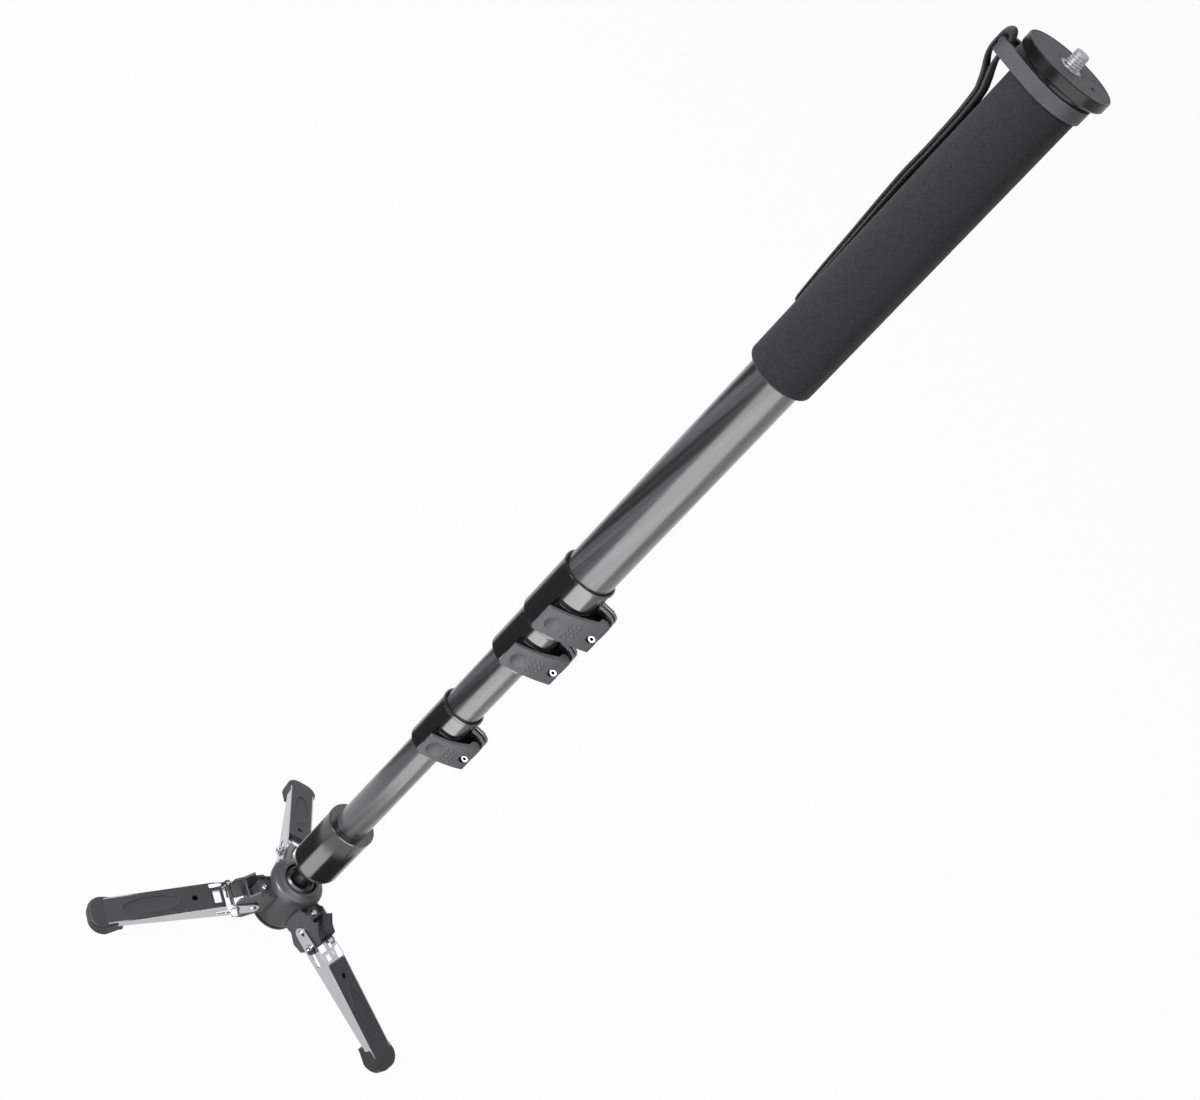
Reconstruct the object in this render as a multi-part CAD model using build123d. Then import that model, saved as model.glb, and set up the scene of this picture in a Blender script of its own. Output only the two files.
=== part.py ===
"""Camera monopod with a folding three-leg stand.

Millimetres, +Z up.  The origin is on the pole's axis, on the floor.
Each sub-part is written to its own file in parts/.
"""
from build123d import *
import math
import os

os.makedirs("parts", exist_ok=True)

# Clearances and shared sizes
overrun = 2.0              # how far a cut runs past the faces it opens
run_gap = 0.06             # radial clearance of a turning or sliding fit
seat_gap = 0.3             # space between pieces that pass each other
edge_break = 0.5           # small chamfer on machined and moulded edges
soft_edge = 1.2            # larger rounding on moulded edges

# Pole tubes, from the thick one under the grip down to the thin one in the base
tube_1_radius = 18.0
tube_2_radius = 16.0
tube_3_radius = 14.0
tube_4_radius = 12.5
tube_wall = 1.1
guide_rim_height = 8.0
guide_spigot_height = 10.0
guide_wall = 2.4

# Heights of the bare tube that shows below each lock, as the pole stands in the photograph
tube_4_shown = 105.0
tube_3_shown = 60.0
tube_2_shown = 0.4
tube_1_shown = 193.0
stop_gap = 1.0             # room left between the tubes' inner ends when the pole is closed
fold_gap = 2.0             # room between the folded legs' tips and the lowest lock

# Flip locks, one on the lower end of tubes 1, 2 and 3
lock_1_height = 49.0
lock_2_height = 40.0
lock_3_height = 44.0
lever_1_height = 25.5
lever_2_height = 24.0
lever_3_height = 23.0
lever_lift = 4.5           # from the collar's lower end to the lever's lower edge
collar_wall = 1.7
collar_lip_height = 2.2
collar_lip_wall = 0.6
clamp_wall = 2.0
clamp_ease = 0.2           # how far the bare clamp band lies inside the lever's flat
window_share = 0.72        # left edge of the window in front of the band, as a share of the collar's radius
shim_wall = 0.8
slit_sink = 3.5            # how far below the lever's top the cut above the clamp band starts
clamp_slit = 5.0           # height of that cut
clamp_split = 2.0          # the band's split, between the lugs
clamp_slit_depth = 6.0     # how far behind the axis the saw cut reaches
tube_ledge = 2.0
lever_turn = 31.6          # degrees from +X to the lever's long direction
lever_thickness = 2.8
lever_crown = 1.8
lever_clear = 0.4
lever_overhang = 1.6       # how much shorter than the collar's radius the free end is
pivot_beyond = 4.7         # how far the lever's pivot lies beyond the collar's radius
lever_boss_radius = 4.2
lever_taper = 4.5          # how much lower the free end's upper corner is
lever_cam_offset = 0.45
lever_corner = 1.5
lever_end_round = 3.0      # rounding of the lever's corners at its pivot end
barrel_radius_small = 2.9
barrel_end_gap = 2.0
bolt_radius = 1.9
bolt_head_radius = 3.4
bolt_head_height = 3.0
bolt_socket_radius = 1.3
bolt_socket_depth = 1.5
bolt_slot_reach = 6.6
bolt_share = 0.45          # place of the bolt along the lever's height
lug_thickness = 3.4
lug_past_bolt = 4.0
lug_rise = 3.5
lug_drop = 0.8
dimple_radius = 6.0
dimple_depth = 1.4
dimple_share = 0.21        # place of the thumb dimple along the lever
bolt_recess_radius = 3.3   # round recess in the lever's face in front of the bolt
bolt_recess_depth = 1.2
bolt_tip_radius = 2.5

# Grip and head
grip_radius = 22.95
grip_length = 225.4
grip_round = 3.0
head_bore_radius = 12.0
head_plug_length = 14.0
ring_height = 8.7
ring_outer_radius = 24.6
ring_journal_radius = 20.0
ring_side_gap = 0.3
lug_half_width = 12.0
lug_reach = 38.0
lug_bar = 3.8
lug_slot_half_width = 8.6
lug_slot_length = 5.6
lug_corner = 8.0
collar_height = 3.0
collar_radius = 22.6
plate_radius = 29.15
plate_thickness = 7.5
plate_rim = 0.9
plate_pad_depth = 1.4
pad_sink = 0.2
screw_radius = 4.7625      # 3/8 inch
screw_rise = 9.5
screw_tip = 0.9
screw_flange_radius = 8.8
screw_flange_height = 2.6
screw_flange_rise = 1.1     # how far the flange stands above the bed of the pad
screw_slot_width = 1.9
screw_slot_start = 5.6
screw_slot_depth = 1.8
screw_well_radius = 9.0
small_screw_radius = 3.175  # 1/4 inch end, hidden below
small_screw_length = 9.0
set_screw_radius = 2.2
set_screw_place = 17.5
set_screw_turn = -9.5
set_screw_depth = 4.6
set_screw_length = 3.2
set_screw_socket = 1.1

# Wrist strap
strap_width = 13.5
strap_thickness = 1.9
strap_bundle = 4.2
strap_rise = 5.6
strap_length = 190.0
strap_swing = 10.0
strap_turns = [177.0, 176.0, 174.0, 172.0, 167.0, 163.0, 160.0, 156.0, 150.0, 144.0, 138.0]
strap_drop_shares = [0.006, 0.026, 0.074, 0.11, 0.22, 0.35, 0.45, 0.56, 0.7, 0.85, 1.0]
strap_stand_off_shares = [0.63, 0.235, 0.055, 0.01, 0.0, 0.0, 0.12, 0.06, 0.0, 0.0, 0.0]
strap_thick_shares = [2.5, 2.5, 1.95, 1.4, 0.95, 0.95, 1.0, 1.0, 1.0, 1.0, 0.9]

# Base sleeve on the lowest tube
sleeve_radius = 18.6
sleeve_length = 58.7
sleeve_cone = 12.0
sleeve_neck_radius = 9.4
sleeve_round_shares = (0.78, 0.36)   # middle of the tapered foot's arc, outwards and upwards
sleeve_ring_height = 3.0
sleeve_ring_wall = 0.25
sleeve_floor = 19.0
bearing_radius = 7.0
bearing_wall = 1.8
bearing_length = 14.0
retainer_radius = 9.5
retainer_height = 2.5
pan_screw_radius = 3.0
pan_screw_head_radius = 5.0
pan_screw_head = 3.0
pan_screw_length = 10.0

# Hub and ball joint
hub_floor_gap = 18.0
base_plate_radius = 18.2
base_plate_thickness = 2.4
hub_groove_height = 1.6
hub_groove_radius = 16.6
barrel_radius = 18.5
barrel_height = 29.6
cap_radius = 21.5
cap_height = 10.0
cap_skirt = 2.6
cap_mouth_radius = 13.2
cap_lip = 1.4
cap_shoulder_share = 0.66
ball_radius = 15.0
ball_flat = 10.6           # flat on top of the ball, above its centre, which is level with the barrel's top
ball_well_radius = 9.3
ball_well_depth = 2.0
stem_radius = 7.5
stem_length = 14.4         # from the cap's top to the sleeve
seat_ring_radius = 16.5
seat_ring_depth = 14.0     # the ring's lower and upper face, below the ball's centre
seat_ring_rise = 6.0
hub_screw_radius = 2.5
hub_screw_head_radius = 4.6
hub_screw_head = 2.6
hub_screw_length = 8.0

# Leg brackets
leg_count = 3
first_leg_turn = -128.9
leg_names = ["a", "b", "c"]
pivot_radius = 30.7
pivot_height = 35.0
bracket_half_width = 9.1
bracket_wall = 1.6
bracket_reach = 20.0       # from the leg pivot to the cheek's top corner
bracket_post = 27.5        # how far the hub's post reaches out between the cheeks
bracket_post_top = 46.5
bracket_post_low = 24.5
bracket_tab_end = 28.6
bracket_screw_place = 25.0
bracket_screw_radius = 1.6
bracket_screw_head_radius = 2.4
bracket_screw_head = 1.7
bracket_screw_length = 9.0
cheek_lower_shares = [(-1.0, -0.27), (-0.5, -0.30), (0.05, -0.72), (0.46, -0.72)]
cheek_upper_shares = [(0.45, 0.62), (0.15, 0.97), (0.01, 0.745), (-0.28, 0.82), (-0.42, 0.72), (-1.0, 0.72)]
notch_corner_share = 0.7
ramp_turns = [10, 17, 24, 31, 38, 45]   # degrees of fold at which the ramp's points are set
screw_socket_share = 0.75

# Legs, drawn flat: x along the leg from the pivot, z up from the pivot's line
leg_slope = 18.0
leg_fold = 108.0
wall_outer = 10.7
wall_thickness = 1.2
wall_end_radius = 5.0
wall_top = 9.5
wall_top_start = 26.0
wall_low_start = 20.0
wall_drop = 4.0            # how far the wall reaches below the pivot's line, near the pivot
wall_low_end = 5.4
leg_metal_length = 114.0
web_start = 20.6
web_bottom = 5.6
web_thickness = 1.2
window_start = 23.0
window_length = 5.4
window_half_width = 5.0
rivet_radius = 2.5
rivet_head_radius = 3.2
rivet_head_height = 1.5
pin_radius = 1.6
pin_place = 13.9
pin_height = 1.2
pin_travel = 12.6
pin_washer_radius = 4.1
pin_washer_height = 0.8
pin_nut_radius = 3.3
pin_nut_height = 3.6
slot_inner_room = 2.7
cover_start = 31.0
cover_margin = 5.5         # from the cover's end to the end of the metal
cover_top = 9.9
cover_hole_place = 43.0
cover_hole_radius = 2.3
thumb_place = 75.5
thumb_half_length = 21.5
thumb_half_width = 6.6
thumb_depth = 1.2
foot_side_reach = 13.0     # how far the foot wraps back along the sides and underneath
foot_under_reach = 17.0
foot_beyond = 7.0          # from the end of the metal to the foot's tip
foot_half_width = 12.9
foot_tip_radius = 10.0
foot_drop = 1.5            # how far the foot reaches below the pivot's line
foot_round = 2.2

# Places that follow from the sizes above
tube_radii = {1: tube_1_radius, 2: tube_2_radius, 3: tube_3_radius, 4: tube_4_radius}
lock_heights = {1: lock_1_height, 2: lock_2_height, 3: lock_3_height}
lever_heights = {1: lever_1_height, 2: lever_2_height, 3: lever_3_height}
barrel_bottom = hub_floor_gap + base_plate_thickness + hub_groove_height
barrel_top = barrel_bottom + barrel_height
cap_top = barrel_top + cap_height
ball_height = barrel_top
sleeve_bottom = cap_top + stem_length
sleeve_top = sleeve_bottom + sleeve_length

lock_bottom = {3: sleeve_top + tube_4_shown}
lock_bottom[2] = lock_bottom[3] + lock_heights[3] + tube_3_shown
lock_bottom[1] = lock_bottom[2] + lock_heights[2] + tube_2_shown
lock_top = {n: lock_bottom[n] + lock_heights[n] for n in lock_bottom}
grip_bottom = lock_top[1] + tube_1_shown
grip_top = grip_bottom + grip_length
ring_bottom = grip_top + 2 * ring_side_gap
ring_top = ring_bottom + ring_height
plate_bottom = ring_top + ring_side_gap + collar_height
plate_top = plate_bottom + plate_thickness

# Places along the leg
cover_end = leg_metal_length - cover_margin
foot_side_start = leg_metal_length - foot_side_reach
foot_tip = leg_metal_length + foot_beyond

# How far each section slides down: lock 3 stops above the folded legs, lock 2 on lock 3
travel_down = {3: lock_bottom[3] - pivot_height - foot_tip - fold_gap, 2: tube_3_shown, 1: tube_2_shown}
guide_length = guide_rim_height + guide_spigot_height
tube_top = {1: grip_top, 2: grip_top - head_plug_length - guide_rim_height - travel_down[1] - stop_gap}
tube_top[3] = tube_top[2] - guide_length - travel_down[2] - stop_gap
tube_top[4] = tube_top[3] - guide_length - travel_down[3] - stop_gap

UP = (Align.CENTER, Align.CENTER, Align.MIN)


def rod(radius, low, high):
    """A round bar on the Z axis between two heights."""
    return Pos(0, 0, low) * Cylinder(radius, high - low, align=UP)


def sleeve(outer, inner, low, high):
    """A round tube on the Z axis between two heights."""
    return rod(outer, low, high) - rod(inner, low - overrun, high + overrun)


def turned(points):
    """A turned piece from its half section, given as (radius, height) points."""
    return revolve(Plane.XZ * make_face(Polyline(*points, close=True)), Axis.Z)


def block(x0, x1, y0, y1, z0, z1):
    """A rectangular block between three pairs of coordinates."""
    return Pos((x0 + x1) / 2, (y0 + y1) / 2, (z0 + z1) / 2) * Box(x1 - x0, y1 - y0, z1 - z0)


def side_plate(outline, near, far):
    """A flat plate with its outline in the side view (x, z), between y = near and y = far."""
    return Pos(0, far, 0) * extrude(Plane.XZ * outline, far - near)


def cross_rod(radius, x, z, near, far):
    """A round bar along Y at (x, z), between y = near and y = far."""
    return Pos(x, far, z) * (Rot(90, 0, 0) * Cylinder(radius, far - near, align=UP))


def outline_of(points):
    return make_face(Polyline(*points, close=True))


def hull_of(*shapes):
    """The outline stretched round a few circles and straight pieces."""
    edges = []
    for shape in shapes:
        edges.extend(shape.edges())
    return make_hull(edges)


def save(name, shape):
    export_step(shape, f"parts/{name}.step")


def save_group(name, shapes):
    export_step(Compound(shapes), f"parts/{name}.step")


def round_the_pole(shape, turn):
    return Rot(0, 0, turn) * shape


def leg_turn(index):
    return first_leg_turn + index * 360.0 / leg_count


# Hub


def hub_barrel():
    """Turned barrel with three posts that the leg brackets are screwed to."""
    pocket = seat_ring_radius + run_gap
    body = rod(barrel_radius, barrel_bottom, barrel_top)
    body = body - rod(pocket, ball_height - seat_ring_depth - seat_gap, barrel_top + overrun)
    body = body - Pos(0, 0, ball_height) * Sphere(ball_radius + seat_gap)
    inner = bracket_half_width - bracket_wall
    for index in range(leg_count):
        post = block(ball_radius, bracket_post, -inner, inner, bracket_post_low, bracket_post_top)
        hole = rod(bracket_screw_radius, bracket_post_top - bracket_screw_length, barrel_top)
        post = post - Pos(bracket_screw_place, 0, 0) * hole - rod(pocket, barrel_bottom, barrel_top)
        body = body + round_the_pole(post, leg_turn(index))
    return body - rod(hub_screw_radius, barrel_bottom - overrun, barrel_bottom + hub_screw_length)


def hub_base_plate():
    """Disc that closes the barrel, with a step that leaves a groove, and a countersunk middle."""
    low = hub_floor_gap
    mid = low + base_plate_thickness
    plate = turned([
        (0, low), (base_plate_radius - edge_break, low), (base_plate_radius, low + edge_break),
        (base_plate_radius, mid), (hub_groove_radius, mid), (hub_groove_radius, barrel_bottom),
        (0, barrel_bottom)])
    plate = plate - rod(hub_screw_radius, low - overrun, barrel_bottom + overrun)
    return plate - rod(hub_screw_head_radius, low - overrun, low + hub_screw_head)


def hub_screw():
    low = hub_floor_gap
    screw = rod(hub_screw_head_radius, low, low + hub_screw_head)
    screw = screw + rod(hub_screw_radius, low, barrel_bottom + hub_screw_length)
    return screw - Pos(0, 0, low) * extrude(RegularPolygon(hub_screw_radius, 6), hub_screw_head / 2)


def hub_cap():
    """Rounded cap that holds the ball down: a turned bell with a round mouth."""
    low, skirt = barrel_top, barrel_top + cap_skirt
    shoulder = (cap_radius - cap_lip, low + cap_height * cap_shoulder_share)
    rim = (cap_mouth_radius + cap_lip, cap_top)
    outer = make_face([
        Polyline((0, low), (barrel_radius + cap_lip, low), (cap_radius, low + cap_lip),
                 (cap_radius, skirt)),
        Spline((cap_radius, skirt), shoulder, (cap_mouth_radius + 2 * cap_lip, cap_top - cap_lip / 2), rim,
               tangents=((0, 1), (-1, 0))),
        Polyline(rim, (0, cap_top), (0, low))])
    bell = revolve(Plane.XZ * outer, Axis.Z)
    bell = bell - Pos(0, 0, ball_height) * Sphere(ball_radius + seat_gap)
    return bell - rod(cap_mouth_radius, ball_height, cap_top + overrun)


def ball_seat_ring():
    """Plastic cup under the ball: it turns with the direction in which the pole leans."""
    ring = rod(seat_ring_radius, ball_height - seat_ring_depth, ball_height - seat_ring_rise)
    return ring - Pos(0, 0, ball_height) * Sphere(ball_radius + run_gap)


def ball_stem():
    """Ball with a flat top and a stem that ends in the bearing spigot of the sleeve."""
    flat = ball_height + ball_flat
    spigot_end = sleeve_bottom + bearing_length
    ball = Pos(0, 0, ball_height) * Sphere(ball_radius)
    ball = ball - rod(ball_radius, flat, flat + ball_radius)
    ball = ball - sleeve(ball_well_radius, stem_radius, flat - ball_well_depth, flat + overrun)
    neck = turned([
        (0, ball_height), (stem_radius, ball_height), (stem_radius, sleeve_bottom - stem_length / 3),
        (sleeve_neck_radius, sleeve_bottom - stem_length / 6),
        (sleeve_neck_radius, sleeve_bottom - seat_gap),
        (bearing_radius, sleeve_bottom - seat_gap), (bearing_radius, spigot_end), (0, spigot_end)])
    return ball + neck - rod(pan_screw_radius, spigot_end - pan_screw_length, sleeve_top)


def stem_retainer():
    low = sleeve_bottom + bearing_length
    return sleeve(retainer_radius, pan_screw_radius, low, low + retainer_height)


def stem_screw():
    low = sleeve_bottom + bearing_length + retainer_height
    screw = rod(pan_screw_radius, low - retainer_height - pan_screw_length, low)
    screw = screw + rod(pan_screw_head_radius, low, low + pan_screw_head)
    socket = extrude(RegularPolygon(pan_screw_radius, 6), pan_screw_head)
    return screw - Pos(0, 0, low + pan_screw_head / 2) * socket


# Sleeve and tubes


def base_sleeve():
    """Turned sleeve with a tapered foot. The lowest tube is glued in its upper bore."""
    cone_top = sleeve_bottom + sleeve_cone
    ring_low = sleeve_top - sleeve_ring_height
    out_share, up_share = sleeve_round_shares
    round_out = sleeve_neck_radius + (sleeve_radius - sleeve_neck_radius) * out_share
    round_middle = (round_out, sleeve_bottom + sleeve_cone * up_share)
    outline = make_face([
        Polyline((0, sleeve_bottom), (sleeve_neck_radius, sleeve_bottom)),
        ThreePointArc((sleeve_neck_radius, sleeve_bottom), round_middle, (sleeve_radius, cone_top)),
        Polyline((sleeve_radius, cone_top), (sleeve_radius, ring_low), (0, ring_low), (0, sleeve_bottom))])
    body = revolve(Plane.XZ * outline, Axis.Z)
    body = body - rod(tube_radii[4], sleeve_bottom + sleeve_floor, sleeve_top)
    ledge = sleeve_bottom + bearing_length - seat_gap
    body = body - rod(bearing_radius + bearing_wall, sleeve_bottom - overrun, ledge)
    return body - rod(retainer_radius + seat_gap, ledge, sleeve_top)


def sleeve_top_ring():
    low = sleeve_top - sleeve_ring_height
    ring = sleeve(sleeve_radius + sleeve_ring_wall, tube_radii[4], low, sleeve_top)
    upper = ring.edges().filter_by(GeomType.CIRCLE).group_by(Axis.Z)[-1]
    return chamfer(upper.sort_by(SortBy.RADIUS)[-1], edge_break)


def pan_bearing():
    high = sleeve_bottom + bearing_length - seat_gap
    return sleeve(bearing_radius + bearing_wall, bearing_radius + run_gap, sleeve_bottom, high)


def tube_seat(n):
    """Height of the ledge in a lock's collar that its tube stands on."""
    return lock_bottom[n] + lever_lift + lever_heights[n] - slit_sink + clamp_slit + tube_ledge


def pole_tube(n):
    low = sleeve_bottom + sleeve_floor if n == 4 else tube_seat(n)
    return sleeve(tube_radii[n], tube_radii[n] - tube_wall, low, tube_top[n])


def tube_guide(n):
    """Bush on an inner tube's upper end that slides in the next tube."""
    inner = tube_radii[n] - tube_wall
    slides_in = tube_radii[n - 1] - tube_wall
    top = tube_top[n]
    return turned([
        (inner - guide_wall, top - guide_spigot_height), (inner, top - guide_spigot_height), (inner, top),
        (slides_in - run_gap, top), (slides_in - run_gap, top + guide_rim_height - edge_break),
        (slides_in - run_gap - edge_break, top + guide_rim_height),
        (inner - guide_wall, top + guide_rim_height)])


# Flip locks


def lever_frame():
    """Turn from the lever's own directions (along the face, outwards) to the pole's."""
    return Rot(0, 0, lever_turn)


def collar_outer(n):
    return tube_radii[n] + collar_wall


def clamp_flat(n):
    """Distance from the axis of the flat that the closed lever lies over."""
    return tube_radii[n + 1] + clamp_wall


def lever_low(n):
    return lock_bottom[n] + lever_lift


def lever_high(n):
    return lever_low(n) + lever_heights[n]


def bolt_height(n):
    return lever_low(n) + lever_heights[n] * bolt_share


def pivot_place(n):
    """Lever pivot in the pole's x and y."""
    along = collar_outer(n) + pivot_beyond
    out = clamp_flat(n)
    turn = math.radians(lever_turn)
    x = along * math.cos(turn) + out * math.sin(turn)
    y = along * math.sin(turn) - out * math.cos(turn)
    return x, y


def lug_faces(n):
    """Y of the four faces of the two lugs, from the lever's side to the far side."""
    first = pivot_place(n)[1] + lever_boss_radius + run_gap
    second = first + lug_thickness
    third = second + clamp_split
    return first, second, third, third + lug_thickness


def collar(n):
    """Clamp collar: a socket for its tube above, and a split band with two lugs below."""
    low, high = lock_bottom[n], lock_top[n]
    outer, tube, inner = collar_outer(n), tube_radii[n], tube_radii[n + 1] + run_gap + shim_wall
    lip = high - collar_lip_height
    seat = tube_seat(n)
    slit = seat - tube_ledge - clamp_slit
    body = turned([
        (inner, low), (outer - edge_break, low), (outer, low + edge_break), (outer, lip),
        (outer + collar_lip_wall, lip + edge_break), (outer + collar_lip_wall, high - edge_break),
        (outer, high), (tube, high), (tube, seat), (inner, seat)])
    left = -outer * window_share
    window = block(left, outer, -outer - overrun, 0, lever_low(n) - soft_edge, slit)
    window = window - rod(clamp_flat(n) - clamp_ease, low, high)
    body = body - lever_frame() * window
    saw = block(left, 2 * outer, -2 * outer, clamp_slit_depth, slit, slit + clamp_slit)
    body = body - lever_frame() * saw
    near, split_near, split_far, far = lug_faces(n)
    x_pivot = pivot_place(n)[0]
    lug_top = lever_high(n) + lug_rise
    lugs = block(tube_radii[n + 1], x_pivot + lug_past_bolt, near, far, lever_low(n) - lug_drop, lug_top)
    lugs = fillet(lugs.edges().filter_by(Axis.Y).group_by(Axis.X)[-1], lug_past_bolt / 2)
    lugs = lugs - rod(inner + clamp_ease, low, high) - rod(outer + seat_gap, slit, high)
    body = body + lugs
    past = x_pivot + 2 * lug_past_bolt
    body = body - block(0, past, split_near, split_far, low - overrun, lug_top + seat_gap)
    return body - cross_rod(bolt_radius, x_pivot, bolt_height(n), near - overrun, far + overrun)


def shim(n):
    inner = tube_radii[n + 1] + run_gap
    return sleeve(inner + shim_wall, inner, lock_bottom[n] + edge_break, tube_seat(n) - edge_break)


def lock_bolt(n):
    """Tension bolt: its head bears on the far lug, and its tip shows in the lever's face."""
    x, y = pivot_place(n)
    z = bolt_height(n)
    far = lug_faces(n)[3]
    tip = y - lever_boss_radius + edge_break
    bolt = cross_rod(bolt_radius, x, z, tip, far)
    bolt = bolt + cross_rod(bolt_head_radius, x, z, far, far + bolt_head_height)
    bolt = bolt + cross_rod(bolt_tip_radius, x, z, tip, y - barrel_radius_small)
    return bolt - cross_rod(bolt_socket_radius, x, z, tip - overrun, tip + bolt_socket_depth)


def lock_barrel(n):
    """Round nut across the lever: the lever turns on it and the bolt is screwed through it."""
    x, y = pivot_place(n)
    beside = 2 * lever_boss_radius
    nut = rod(barrel_radius_small, lever_low(n) + barrel_end_gap, lever_high(n) - barrel_end_gap)
    return Pos(x, y, 0) * nut - cross_rod(bolt_radius, x, bolt_height(n), y - beside, y + beside)


def lever_span(n):
    """The lever's free end, its pivot end and the middle between them, along its face."""
    free = lever_overhang - collar_outer(n)
    end = collar_outer(n) + pivot_beyond + lever_boss_radius - lever_corner
    return free, end, (free + end) / 2


def lever_front(n):
    """The lever's outline seen from the front: slanted on top, round at its pivot end."""
    free, tip = lever_span(n)[0], lever_span(n)[1] + lever_corner
    low, high = lever_low(n), lever_high(n)
    outline = outline_of([(free, low), (tip, low), (tip, high), (tip - 2 * lever_boss_radius, high),
                          (free, high - lever_taper)])
    outline = fillet(outline.vertices().group_by(Axis.X)[-1], lever_end_round)
    return fillet(outline.vertices().group_by(Axis.X)[0], lever_corner)


def lever(n):
    """Curved thumb lever with a cam at its pivot, a dimple, and a slot that swings past the bolt."""
    out = clamp_flat(n) + lever_clear
    along = collar_outer(n) + pivot_beyond
    free, end, mid = lever_span(n)
    face = out + lever_thickness
    blade = make_face([
        ThreePointArc((free, -face), (mid, -face - lever_crown), (end, -face)),
        Polyline((end, -face), (end, -out), (along - lever_boss_radius, -out)),
        ThreePointArc((along - lever_boss_radius, -out), (mid, -out - lever_crown),
                      (free + edge_break, -out)),
        Line((free + edge_break, -out), (free, -face))])
    cam = Pos(along - lever_cam_offset, -clamp_flat(n)) * Circle(lever_boss_radius - lever_cam_offset)
    low, high = lever_low(n), lever_high(n)
    body = Pos(0, 0, low) * extrude(blade + cam, lever_heights[n])
    body = body & side_plate(lever_front(n), -2 * face, out)
    body = lever_frame() * body
    x, y = pivot_place(n)
    keep = Pos(x, y, 0) * rod(lever_boss_radius, lever_low(n), lever_high(n))
    beside = 2 * lever_boss_radius
    toward_lug = block(x - beside, x + beside, y, y + 2 * beside, low - overrun, high + overrun)
    body = (body - toward_lug) + (body & toward_lug & keep)
    hole_top = high - barrel_end_gap + run_gap
    body = body - Pos(x, y, 0) * rod(barrel_radius_small + run_gap, low - overrun, hole_top)
    z = bolt_height(n)
    room = bolt_tip_radius + seat_gap
    body = body - Pos(x, y, 0) * rod(bolt_slot_reach, z - room, z + room)
    recess = y - lever_boss_radius + bolt_recess_depth + edge_break
    body = body - cross_rod(bolt_recess_radius, x, z, y - 2 * beside, recess)
    place = free + (end - free) * dimple_share
    ball = (dimple_radius ** 2 + dimple_depth ** 2) / (2 * dimple_depth)
    half = (end - free) / 2
    arc = (half ** 2 + lever_crown ** 2) / (2 * lever_crown)
    crown = lever_crown - arc + math.sqrt(arc ** 2 - (place - mid) ** 2)
    centre = -face - crown - ball + dimple_depth
    dish = Pos(place, centre, (low + high - lever_taper) / 2) * Sphere(ball)
    return body - lever_frame() * dish


# Grip and head


def outer_rims(grip):
    """The grip's outer circles, in groups from the lowest up."""
    circles = grip.edges().filter_by(GeomType.CIRCLE)
    return circles.filter_by(lambda edge: edge.radius > tube_radii[1] + collar_wall).group_by(Axis.Z)


def foam_grip():
    """Thick foam sleeve with a well rounded lower rim and a softer upper one."""
    grip = sleeve(grip_radius, tube_radii[1], grip_bottom, grip_top)
    grip = fillet(outer_rims(grip)[0], grip_round)
    return fillet(outer_rims(grip)[-1], soft_edge)


def head_insert():
    """Turned plug in the top tube with the journal that the strap ring turns on."""
    plug = tube_radii[1] - tube_wall
    low, high = ring_bottom - ring_side_gap, ring_top + ring_side_gap
    shoulder = ring_outer_radius - collar_wall - soft_edge
    return turned([
        (head_bore_radius, grip_top - head_plug_length), (plug, grip_top - head_plug_length),
        (plug, grip_top), (shoulder, grip_top), (shoulder, low), (ring_journal_radius, low),
        (ring_journal_radius, high), (head_bore_radius, high)])


def head_collar():
    low = ring_top + ring_side_gap
    return sleeve(collar_radius, screw_well_radius, low, low + collar_height)


def top_plate():
    """Round camera plate with a rim, a recess for the pad and a well for the screw's flange."""
    inside, bed = plate_radius - plate_rim, plate_top - plate_pad_depth
    body = turned([
        (0, plate_bottom), (plate_radius - soft_edge, plate_bottom),
        (plate_radius, plate_bottom + soft_edge),
        (plate_radius, plate_top - edge_break), (plate_radius - edge_break, plate_top),
        (inside, plate_top), (inside, bed), (0, bed)])
    body = body - rod(screw_well_radius, bed - screw_flange_height + screw_flange_rise, plate_top)
    body = body - rod(small_screw_radius, plate_bottom - overrun, plate_top)
    hole = rod(set_screw_radius, plate_top - set_screw_depth, plate_top + overrun)
    return body - Rot(0, 0, set_screw_turn) * (Pos(set_screw_place, 0, 0) * hole)


def plate_pad():
    low = plate_top - plate_pad_depth
    pad = sleeve(plate_radius - plate_rim, screw_well_radius, low, plate_top - pad_sink)
    hole = rod(set_screw_radius, low - overrun, plate_top)
    return pad - Rot(0, 0, set_screw_turn) * (Pos(set_screw_place, 0, 0) * hole)


def camera_screw():
    """Reversible stud: the large thread up, a flange, and the small thread down in the head."""
    low = plate_top - plate_pad_depth - screw_flange_height + screw_flange_rise
    high = plate_top + screw_rise
    flange = low + screw_flange_height
    half = screw_slot_width / 2
    screw = turned([
        (0, low - small_screw_length), (small_screw_radius, low - small_screw_length),
        (small_screw_radius, low), (screw_flange_radius, low),
        (screw_flange_radius, flange), (screw_radius, flange),
        (screw_radius, high - screw_tip), (screw_radius - screw_tip, high), (0, high)])
    for side in (0, 180):
        floor = flange - screw_slot_depth
        slot = block(screw_slot_start, screw_well_radius, -half, half, floor, flange + overrun)
        screw = screw - Rot(0, 0, side) * slot
    return screw


def set_screw():
    low = plate_top - set_screw_depth
    screw = rod(set_screw_radius, low, low + set_screw_length)
    socket = extrude(RegularPolygon(set_screw_socket, 6), set_screw_length)
    screw = screw - Pos(0, 0, low + set_screw_length / 2) * socket
    return Rot(0, 0, set_screw_turn) * (Pos(set_screw_place, 0, 0) * screw)


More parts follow.
